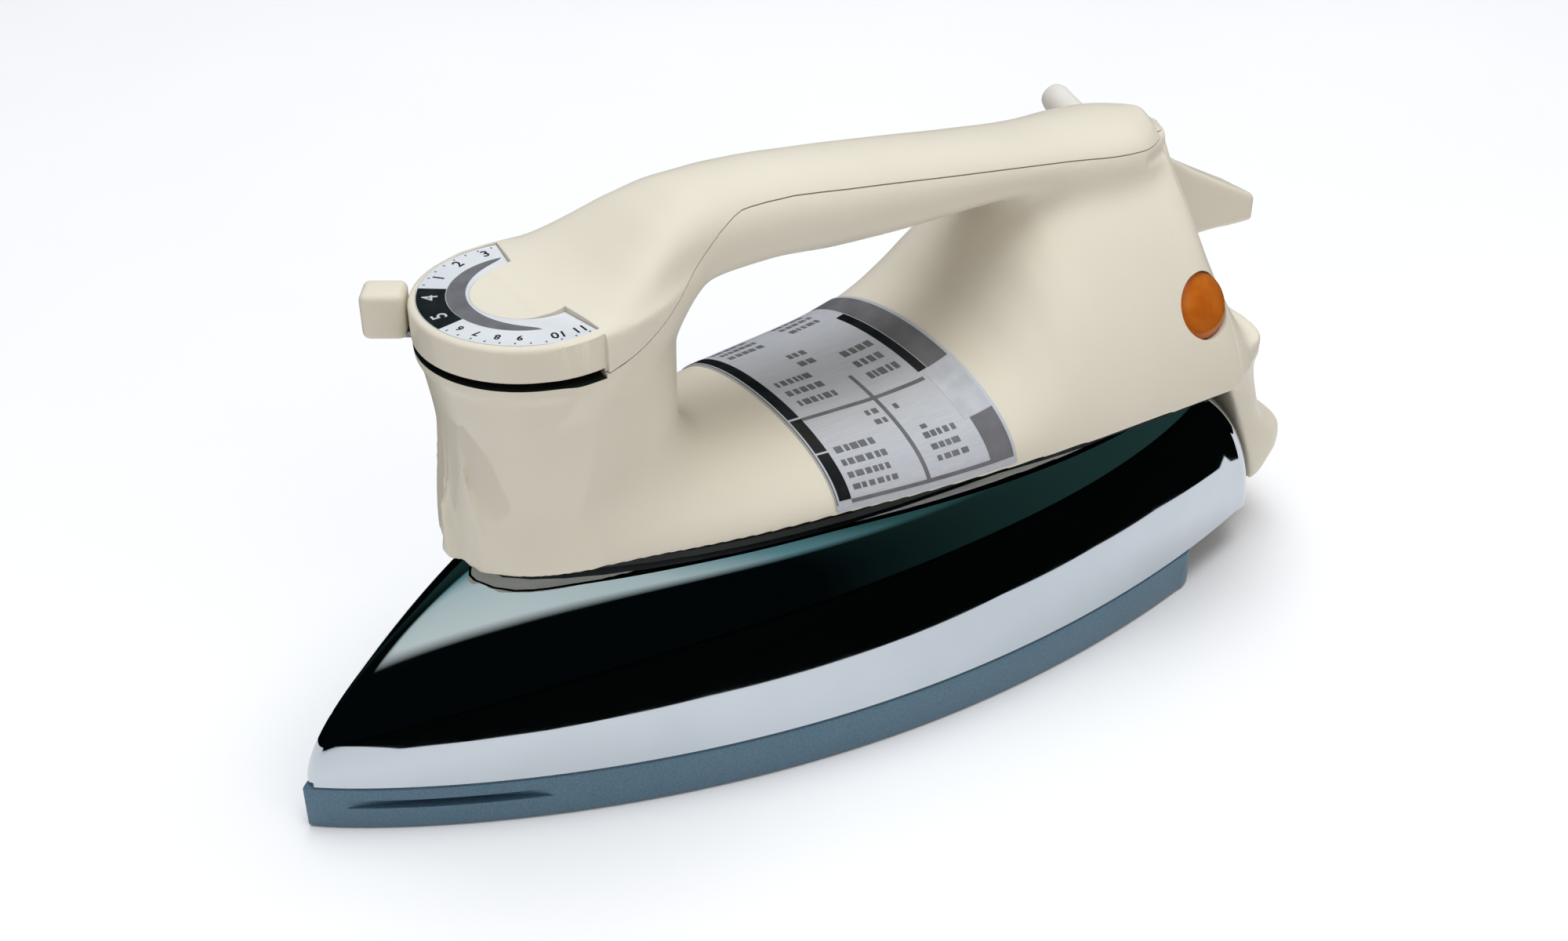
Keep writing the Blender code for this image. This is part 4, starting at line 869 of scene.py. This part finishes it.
def build_rating_label(field):
    plate = saddle_patch("label_sheet", "plate", (107.0, 148.6), (-86.0, 86.0), (0.05, 0.42), field)
    on_iron(plate, "label_plate", "rating_label")
    label_print("label_black_bands", field, [
        ("ink", (107.8, 110.4), (-60.0, 22.2)),
        ("ink", (107.8, 110.4), (23.4, 44.4)),
        ("ink", (107.8, 110.4), (45.6, 77.0)),
        ("ink", (140.5, 142.6), (-30.0, 20.5)),
    ])
    label_print("label_rules", field, [
        ("grey_ink", (142.4, 147.9), (50.5, 77.4)),
        ("grey_ink", (110.4, 147.9), (77.4, 80.4)),
        ("grey_ink", (110.4, 140.4), (23.2, 25.0)),
        ("grey_ink", (127.4, 128.3), (8.5, 77.4)),
        ("grey_ink", (107.1, 107.4), (-60.0, 80.0)),
        ("pale_ink", (142.8, 147.9), (-60.0, 20.6)),
    ])
    label_print("label_grey_field", field, [("pale_ink", (141.2, 147.9), (21.0, 50.1))])
    label_print("label_small_marks", field, text_marks())


def crescent_outline(start, end, outer, thick, steps=60):
    """A crescent that tapers to a point at both ends, as (x, station) points."""
    outside, inside = [], []
    for i in range(steps + 1):
        share = i / steps
        angle = math.radians(start + (end - start) * share)
        depth = thick * math.sin(math.pi * share) ** 0.55
        outside.append((outer * math.sin(angle), DIAL_STATION - outer * math.cos(angle)))
        inner = outer - max(depth, 0.05)
        inside.append((inner * math.sin(angle), DIAL_STATION - inner * math.cos(angle)))
    return outside + inside[::-1]


def dial_figure(text, angle, radius, size, look, height=0.06):
    """One generic figure on the dial, its foot towards the centre."""
    data = bpy.data.curves.new("figure", "FONT")
    data.body = text
    data.size = size / MM
    data.extrude = height / MM / 2
    data.align_x = "CENTER"
    data.align_y = "CENTER"
    data.offset = 0.00004
    made = bpy.data.objects.new("figure", data)
    bpy.context.scene.collection.objects.link(made)
    turn = math.radians(angle)
    x, station = radius * math.sin(turn), DIAL_STATION - radius * math.cos(turn)
    made.location = world(x, station, CAP_TOP + height / 2)
    made.rotation_euler = (0.0, 0.0, turn + math.pi)
    bpy.context.view_layer.update()
    mesh = bpy.data.meshes.new_from_object(made.evaluated_get(bpy.context.evaluated_depsgraph_get()))
    mesh.transform(made.matrix_world)
    mesh.materials.clear()
    mesh.materials.append(LOOKS[look])
    bpy.data.objects.remove(made)
    shown = bpy.data.objects.new("figure", mesh)
    bpy.context.scene.collection.objects.link(shown)
    return shown


def dial_figures(name, figures):
    """Figures as one piece, each a (text, angle, radius, size, look, height)."""
    piece = joined(name, [dial_figure(*figure) for figure in figures])
    return on_iron(piece, "dial_scale_print")


def build_dial():
    plate = slab("dial_ring", sector(11.05, 20.9, -99.6, 99.6, 90), 104.2, 104.60, "dial")
    on_iron(plate, "dial_scale_print", "dial_scale")
    crescent = slab("dial_crescent", crescent_outline(-97, 72, 15.3, 3.7), *DIAL_PRINT, "grey_ink")
    on_iron(crescent, "dial_scale_print")
    block = slab("dial_black_block", sector(15.4, 20.8, -36, 12, 24), *DIAL_PRINT, "ink")
    on_iron(block, "dial_scale_print")
    figures = [(text, angle, 18.2, 3.3, "ink") for text, angle in (("3", -90), ("2", -70), ("1", -50))]
    figures += [(text, angle, 18.2, 3.0, "ink") for text, angle in (("10", 80), ("11", 93))]
    small = (("6", 20), ("7", 32), ("8", 45), ("9", 58))
    figures += [(text, angle, 18.0, 2.3, "grey_ink") for text, angle in small]
    dial_figures("dial_figures", figures)
    light = (("4", -24, 18.1, 4.2, "pale_ink", 0.05), ("5", 0, 18.1, 4.2, "grey_ink", 0.05))
    dial_figures("dial_light_figures", light).location.z += 0.00004
    ticks = []
    for angle in range(-96, 97, 8):
        tick = sector(19.8, 20.3, angle - 0.5, angle + 0.5, 2)
        ticks.append(slab("tick", tick, 104.59, 104.63, "grey_ink"))
    on_iron(joined("dial_ticks", ticks), "dial_scale_print")


# ---- selector knob, lamp, cord entry


def rounded_block(name, low, high, radius):
    obj = box_mesh(name, low, high)
    bevel = obj.modifiers.new("round", "BEVEL")
    bevel.width = radius / MM
    bevel.segments = 5
    bevel.limit_method = "ANGLE"
    return apply_modifiers(obj)


def build_knob():
    """The knob is shaped straight ahead of the dial, then turned to where the lever rests."""
    low, high = (-3.8, DIAL_STATION - 31.3, 96.0), (3.8, DIAL_STATION - 22.9, 105.5)
    knob = rounded_block("knob_cap", low, high, 1.5)
    cut(knob, box_mesh("lever_pocket", (-2.7, DIAL_STATION - 29.1, 94.0), (2.7, DIAL_STATION - 20.0, 97.6)))
    pivot = world(0.0, DIAL_STATION, 0.0)
    turn = Matrix.Translation(pivot) @ Matrix.Rotation(LEVER_REST, 4, "Z") @ Matrix.Translation(-pivot)
    knob.data.transform(turn)
    smooth(knob, 50.0)
    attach(knob, "selector")
    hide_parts("selector_knob")


def build_lens():
    radius, rim, dome_rise = 7.5, 0.6, 2.9
    dome = [(radius * math.sin(t), rim + dome_rise * math.cos(t)) for t in np.linspace(0.0, math.pi / 2, 12)]
    profile = dome + [(radius, -0.4), (5.9, -0.4), (5.9, -5.6), (4.9, -6.0), (4.9, -0.8), (0.0, rim)]
    lens = turned("lamp_lens", profile, LAMP_CENTRE, LAMP_AXIS, "lens", 96)
    on_iron(lens, "amber_lens", "pilot_lens")


def build_gland():
    """A sleeve whose section closes on itself, so that it has a hole right through."""
    profile = [(2.4, 1.0), (3.4, 1.0), (3.4, 19.4), (3.1, 20.6), (2.4, 21.4), (2.4, 1.0)]
    rings = circles(profile, GLAND_CENTRE, GLAND_AXIS, 40)
    gland = lofted("cord_sleeve", rings, "gland", capped=False)
    bm = bmesh.new()
    bm.from_mesh(gland.data)
    bmesh.ops.remove_doubles(bm, verts=bm.verts, dist=1e-6)
    bm.to_mesh(gland.data)
    bm.free()
    smooth(gland, 35.0)
    on_iron(gland, "grey_rubber", "cord_gland")


# ---- sole and chrome cover


def rim_half_width(station):
    station = np.asarray(station, float)
    share = np.minimum(station, WIDEST_STATION) / WIDEST_STATION
    front = SOLE_HALF_WIDTH * np.maximum(1 - (1 - share) ** 2, 0.0) ** 0.893
    rear = SOLE_HALF_WIDTH - 14.7 * ((station - WIDEST_STATION) / 90.0) ** 2
    return np.where(station < WIDEST_STATION, front, rear)


def deck_half_width(station):
    station = np.asarray(station, float)
    share = np.clip((station - 37.0) / (WIDEST_STATION - 37.0), 0.0, 1.0)
    front = 38.5 * (1 - (1 - share) ** 2) ** 0.65
    return np.where(station < WIDEST_STATION, front, 38.5 - 8.8 * ((station - WIDEST_STATION) / 90.0) ** 2)


def boat(front, rear, width_at, corner, steps=90, corner_steps=8):
    """A closed (x, station) outline with a pointed nose and a straight heel with rounded corners."""
    side = []
    for i in range(1, steps + 1):
        station = front + (rear - corner - front) * (i / steps) ** 1.5
        side.append((float(width_at(station)), station))
    turn_x = side[-1][0] - corner
    for k in range(1, corner_steps + 1):
        angle = math.radians(90 * k / corner_steps)
        side.append((turn_x + corner * math.cos(angle), rear - corner + corner * math.sin(angle)))
    return [(0.0, front)] + side + [(-x, station) for x, station in reversed(side)]


def drawn_in(outline, distance):
    """The sole's outline shrunk evenly, so that its sides move in by the distance."""
    middle = SOLE_LENGTH / 2.0
    scale_x = (SOLE_HALF_WIDTH - distance) / SOLE_HALF_WIDTH
    scale_s = (middle - distance) / middle
    return [(x * scale_x, middle + (s - middle) * scale_s) for x, s in outline]


def groove_outline(side):
    """A lens-shaped bite out of one side of the sole's nose, as (x, station) points."""
    front, length, depth, spare, steps = 6.5, 36.5, 2.3, 4.0, 30
    outer, inner = [], []
    for i in range(steps + 1):
        station = front + length * i / steps
        half = float(rim_half_width(station))
        bite = depth * math.sin(math.pi * i / steps) ** 0.7
        slope = float(rim_half_width(station + 0.5)) - float(rim_half_width(station - 0.5))
        long = math.hypot(1.0, slope)
        outer.append((side * (half + spare / long), station - spare * slope / long))
        inner.append((side * (half - bite / long), station + bite * slope / long))
    return outer + inner[::-1]


def build_sole():
    outline = boat(0.0, SOLE_LENGTH, rim_half_width, 7.0)
    rings = []
    for z, inward in ((0.0, 0.6), (0.18, 0.18), (0.6, 0.0), (9.8, 0.0), (10.15, 0.15), (10.3, 0.5)):
        rings.append([(x, s, z) for x, s in drawn_in(outline, inward)])
    sole = lofted("sole_plate", rings, "sole", 50.0)
    for side in (-1, 1):
        cut(sole, slab("groove", groove_outline(side), *GROOVE_BAND, "sole"))
    smooth(sole, 50.0)
    on_iron(sole, "sole_casting", "soleplate")


def cover_rings():
    """Rings from the cover's rim to its flat top. The shoulder rolls over gently, most of all at the nose."""
    rim = boat(COVER_FRONT, COVER_REAR, rim_half_width, 6.0)
    deck = boat(37.0, 209.0, deck_half_width, 6.0)
    flat = [(x * 0.792, 49.0 + (s - 37.0) * 152.0 / 172.0) for x, s in deck]
    slopes = [math.dist(low, high) for low, high in zip(rim, deck)]
    rings = []
    for turn in np.linspace(0.0, math.pi / 2, 56):
        level = math.sin(turn)
        ring = []
        for low, high, slope in zip(rim, flat, slopes):
            nose = min(1.0, max(0.0, (slope - 5.5) / 30.0))
            roll, rise = 2.0 - 0.75 * nose, 2.2 - 0.6 * nose
            inward = 1.0 - max(0.0, 1.0 - level**rise) ** (1.0 / roll)
            x, s = low[0] + (high[0] - low[0]) * inward, low[1] + (high[1] - low[1]) * inward
            ring.append((x, s, COVER_FOOT_Z + COVER_RISE * level))
        rings.append(ring)
    return rings


def build_chrome_cover():
    rings = cover_rings()
    count = len(rings[0])
    points = [world(*p) for ring in rings for p in ring]
    last = (len(rings) - 1) * count
    faces = grid_faces(len(rings), count, True) + [tuple(range(last, last + count))]
    cover = add_mesh("cover_shell", points, faces, "chrome")
    smooth(cover, 30.0)
    top = max(cover.data.polygons, key=lambda p: p.center.z)
    if top.normal.z < 0:
        cover.data.flip_normals()
    solid_with_wall(cover, COVER_WALL)
    smooth(cover, 30.0)
    on_iron(cover, "chrome_plate", "chrome_cover")


# ---- heel

HEEL_LOW = np.array((-40.6, 204.0, 10.0))
HEEL_COUNT = (117, 64, 134)

heel_front = curve([(13.0, 233.8), (24.0, 229.6), (31.0, 226.7), (41.0, 222.2), (50.0, 216.5), (52.8, 215.0)])
foot_rear = curve(
    [(13.0, 236.8), (14.5, 239.4), (17.5, 243.1), (20.5, 246.2), (23.0, 246.9), (25.5, 246.6),
     (28.0, 242.4), (30.5, 238.9), (34.0, 237.0), (41.0, 234.5), (50.0, 231.8), (53.0, 231.0)]
)
foot_half = curve(
    [(13.0, 25.4), (16.5, 26.4), (24.0, 26.8), (31.0, 26.6), (41.0, 27.0), (47.0, 28.2), (53.0, 31.0)]
)
lug_top = curve([(205.0, 99.2), (211.0, 97.2), (222.0, 90.6), (240.0, 80.7), (246.0, 77.6)])
lug_bottom = curve([(205.0, 73.2), (226.0, 73.3), (242.0, 72.3), (246.0, 72.1)])


def rounded_brick(parts, corner):
    """Distance from a shape bounded by several faces, with its edges rounded."""
    sharp = parts[0]
    for part in parts[1:]:
        sharp = np.maximum(sharp, part)
    beyond = np.sqrt(sum(np.maximum(part + corner, 0.0) ** 2 for part in parts)) - corner
    return np.where(beyond > -corner, beyond, sharp)


def foot_field(across, s, z):
    """The foot that the iron stands on when it is tipped back."""
    low = np.minimum(z, 53.0)
    front, rear = heel_front(low), foot_rear(low)
    sides = section_distance(across, np.maximum(s - front, 0.0), foot_half(low), rear - front, 4.0)
    level = 0.0 * (s + across)
    return rounded_brick([sides, front - s + 0.0 * across, 13.2 - z + level, z - 57.0 + level], 0.8)


def heel_field():
    """Distance from the heel cover, its foot and its lug."""
    x, s, z = grid_axes(HEEL_LOW, HEEL_COUNT)
    across = np.abs(x)
    cover = np.maximum(pillar_corner(across, s, z), np.maximum(53.4 - z, z - 98.6) + 0.0 * s)
    cover = np.maximum(cover, HEEL_COVER_FRONT - s)
    height = np.maximum(z - lug_top(s), lug_bottom(s) - z)
    lug = rounded_brick([height, across - 6.1 + 0.0 * z, s - 243.4 + 0.0 * z], 1.0)
    form = blend_union(blend_union(foot_field(across, s, z), cover, 2.0), lug, 1.5)
    hollow = np.maximum(pillar_corner(across, s, z, WALL), np.maximum(54.8 - z, z - 72.0) + 0.0 * s)
    shell = np.maximum(form, -hollow)
    shell = np.maximum(shell, np.where(z > 53.2, HEEL_COVER_FRONT - s, -9.0) + 0.0 * across)
    return shell.astype(np.float32)


def build_heel():
    heel = relaxed(surface_of(heel_field(), "heel_shell", 0.0, HEEL_LOW), 2)
    cut(heel, lamp_rod("lamp_clearance", -12.0, 12.0, 7.9))
    cut(heel, rod("screw_sink", 0, 24, 4.6, (0.0, 221.5, 60.0), (0, 1, 0)))
    smooth(heel, 45.0)
    on_iron(heel, "cream_moulding", "heel_cover", "heel_lug")


# ---- stage


def build_painted_shade_skirt():
    """A dark strip round the foot of the cream form, seen only in reflections: it paints shade into the
    chrome cover's flat top, where the cream form would be reflected.
    """
    stations = [37.3] + [float(s) for s in np.arange(39.0, 212.0, 3.0)]
    side = [(float(base_half_width(s)) + 1.2, s) for s in stations]
    line = side[::-1] + [(-x, s) for x, s in side]
    points = [world(x, s, z) for z in (51.8, 92.0) for x, s in line]
    count = len(line)
    faces = [(i, i + 1, count + i + 1, count + i) for i in range(count - 1)]
    return add_mesh("painted_shade_skirt", points, faces, "cloth")


CARD_EDGE = (
    (62.0, 330.0), (53.0, 276.0), (72.0, 249.0), (82.0, 218.0), (89.0, 176.0), (90.0, 118.0), (89.0, 70.0),
    (84.0, 40.0), (80.0, 19.0), (79.0, -11.0), (83.0, -48.0), (132.0, -123.0), (420.0, -560.0),
    (5200.0, -7900.0),
)


def build_dark_card():
    """A dark cloth on each side and behind, just above the floor."""
    points, faces = [], []
    count = len(CARD_EDGE)
    for side in (-1, 1):
        first = len(points)
        points += [world(side * x, s, CARD_Z) for x, s in CARD_EDGE]
        points += [world(side * CARD_REACH, s, CARD_Z) for x, s in CARD_EDGE]
        for i in range(count - 1):
            faces.append((first + i, first + i + 1, first + count + i + 1, first + count + i))
    first = len(points)
    rear_card = ((-CARD_REACH, 330), (CARD_REACH, 330), (CARD_REACH, CARD_REACH), (-CARD_REACH, CARD_REACH))
    points += [world(x, s, CARD_Z) for x, s in rear_card]
    faces.append((first, first + 1, first + 2, first + 3))
    return add_mesh("dark_card", points, faces, "cloth")


def build_stage():
    reach, low = FLOOR_REACH, -0.0002
    corners = [(-reach, -reach, low), (reach, -reach, low), (reach, reach, low), (-reach, reach, low)]
    add_mesh("floor", corners, [(0, 1, 2, 3)], "floor")
    # Only reflections see the dark pieces; the skirt paints shade into the cover's flat top.
    for piece in (build_dark_card(), build_painted_shade_skirt()):
        piece.visible_camera = False
        piece.visible_diffuse = False
        piece.visible_shadow = False
        piece.visible_transmission = False


def add_light(name, place, target, size, power, color):
    """A soft square light. Reflections don't see it."""
    data = bpy.data.lights.new(name, "AREA")
    data.shape = "RECTANGLE"
    data.size, data.size_y = size, size
    data.energy = power
    data.color = color
    light = bpy.data.objects.new(name, data)
    light.location = place
    light.rotation_euler = (Vector(target) - Vector(place)).to_track_quat("-Z", "Y").to_euler()
    light.visible_glossy = False
    bpy.context.scene.collection.objects.link(light)


def sky_ramp(nodes, links, value, low, high, stops):
    """A colour ramp over a value, from one limit to another."""
    spread = nodes.new("ShaderNodeMapRange")
    spread.inputs["From Min"].default_value = low
    spread.inputs["From Max"].default_value = high
    links.new(value, spread.inputs["Value"])
    return color_ramp(nodes, links, spread.outputs["Result"], stops)


def mixed(nodes, links, factor, first, second):
    """The first colour where the factor is 0 and the second where it is 1."""
    mix = nodes.new("ShaderNodeMix")
    mix.data_type = "RGBA"
    links.new(factor, mix.inputs["Factor"])
    links.new(first, mix.inputs[6])
    links.new(second, mix.inputs[7])
    return mix.outputs[2]


SOFTBOX_STOPS = (
    (0.0, (0.015, 0.045, 0.040)), (0.28, (0.04, 0.12, 0.12)), (0.48, (0.16, 0.34, 0.36)),
    (0.68, (0.62, 0.74, 0.72)), (1.0, (0.86, 0.92, 0.88)),
)
ROOM_STOPS = ((0.0, (0.02, 0.055, 0.048)), (1.0, (0.0015, 0.003, 0.0035)))
MATT_STOPS = (
    (0.0, (0.22, 0.165, 0.145)), (0.25, (0.24, 0.18, 0.16)), (0.55, (0.30, 0.27, 0.26)),
    (1.0, (0.44, 0.47, 0.52)),
)


def build_world():
    """White to the camera, soft light for matt surfaces, and a dark room with one softbox for reflections."""
    scene_world = bpy.data.worlds.new("studio")
    bpy.context.scene.world = scene_world
    scene_world.use_nodes = True
    nodes, links = scene_world.node_tree.nodes, scene_world.node_tree.links
    direction = nodes.new("ShaderNodeTexCoord").outputs["Generated"]
    split = nodes.new("ShaderNodeSeparateXYZ")
    links.new(direction, split.inputs[0])
    up = split.outputs["Z"]
    toward = nodes.new("ShaderNodeVectorMath")
    toward.operation = "DOT_PRODUCT"
    links.new(direction, toward.inputs[0])
    toward.inputs[1].default_value = (0.34, -0.94, 0.0)
    front = toward.outputs["Value"]

    softbox = sky_ramp(nodes, links, front, -0.5, 0.8, SOFTBOX_STOPS)
    room = sky_ramp(nodes, links, front, -0.6, 0.2, ROOM_STOPS)
    mask = sky_ramp(nodes, links, up, 0.60, 0.69, [(0.0, (0.0, 0.0, 0.0)), (1.0, (1.0, 1.0, 1.0))])
    glossy = mixed(nodes, links, mask, room, softbox)
    matt = sky_ramp(nodes, links, up, -0.2, 1.0, MATT_STOPS)
    white = nodes.new("ShaderNodeRGB")
    white.outputs[0].default_value = (1.0, 1.0, 1.0, 1.0)
    path = nodes.new("ShaderNodeLightPath")
    lit = mixed(nodes, links, path.outputs["Is Diffuse Ray"], glossy, matt)
    seen = mixed(nodes, links, path.outputs["Is Camera Ray"], lit, white.outputs[0])
    links.new(seen, nodes["Background"].inputs["Color"])
    nodes["Background"].inputs["Strength"].default_value = 1.0


def build_light():
    add_light("overhead", (-0.10, 0.16, 2.0), (0, 0, 0.03), 1.6, 35.0, (0.96, 0.98, 1.02))
    add_light("side_fill", (0.9, 0.1, 0.75), (0, 0.02, 0.05), 0.6, 1.6, (1.0, 0.98, 0.92))
    add_light("front_fill", (0.9, -0.6, 0.6), (0, 0, 0.05), 0.8, 0.35, (1.0, 0.90, 0.86))
    build_world()


def build_camera():
    azimuth, elevation, distance = math.radians(56.64), math.radians(32.95), 0.42409
    target = Vector((0.0, -0.00885, 0.04444))
    level = math.cos(elevation)
    back = Vector((math.sin(azimuth) * level, -math.cos(azimuth) * level, math.sin(elevation)))
    data = bpy.data.cameras.new("camera")
    data.lens = 45.0
    data.sensor_width = 36.0
    data.clip_start = 0.01
    camera = bpy.data.objects.new("camera", data)
    camera.location = target + back * distance
    camera.rotation_euler = (-back).to_track_quat("-Z", "Y").to_euler()
    bpy.context.scene.collection.objects.link(camera)
    bpy.context.scene.camera = camera
    bpy.context.scene.view_settings.view_transform = "Standard"


dress_frame()
field = cream_field()
build_cream_body(field)
build_rating_label(field)
build_dial()
build_knob()
build_lens()
build_gland()
build_sole()
build_chrome_cover()
build_heel()
build_stage()
build_light()
build_camera()
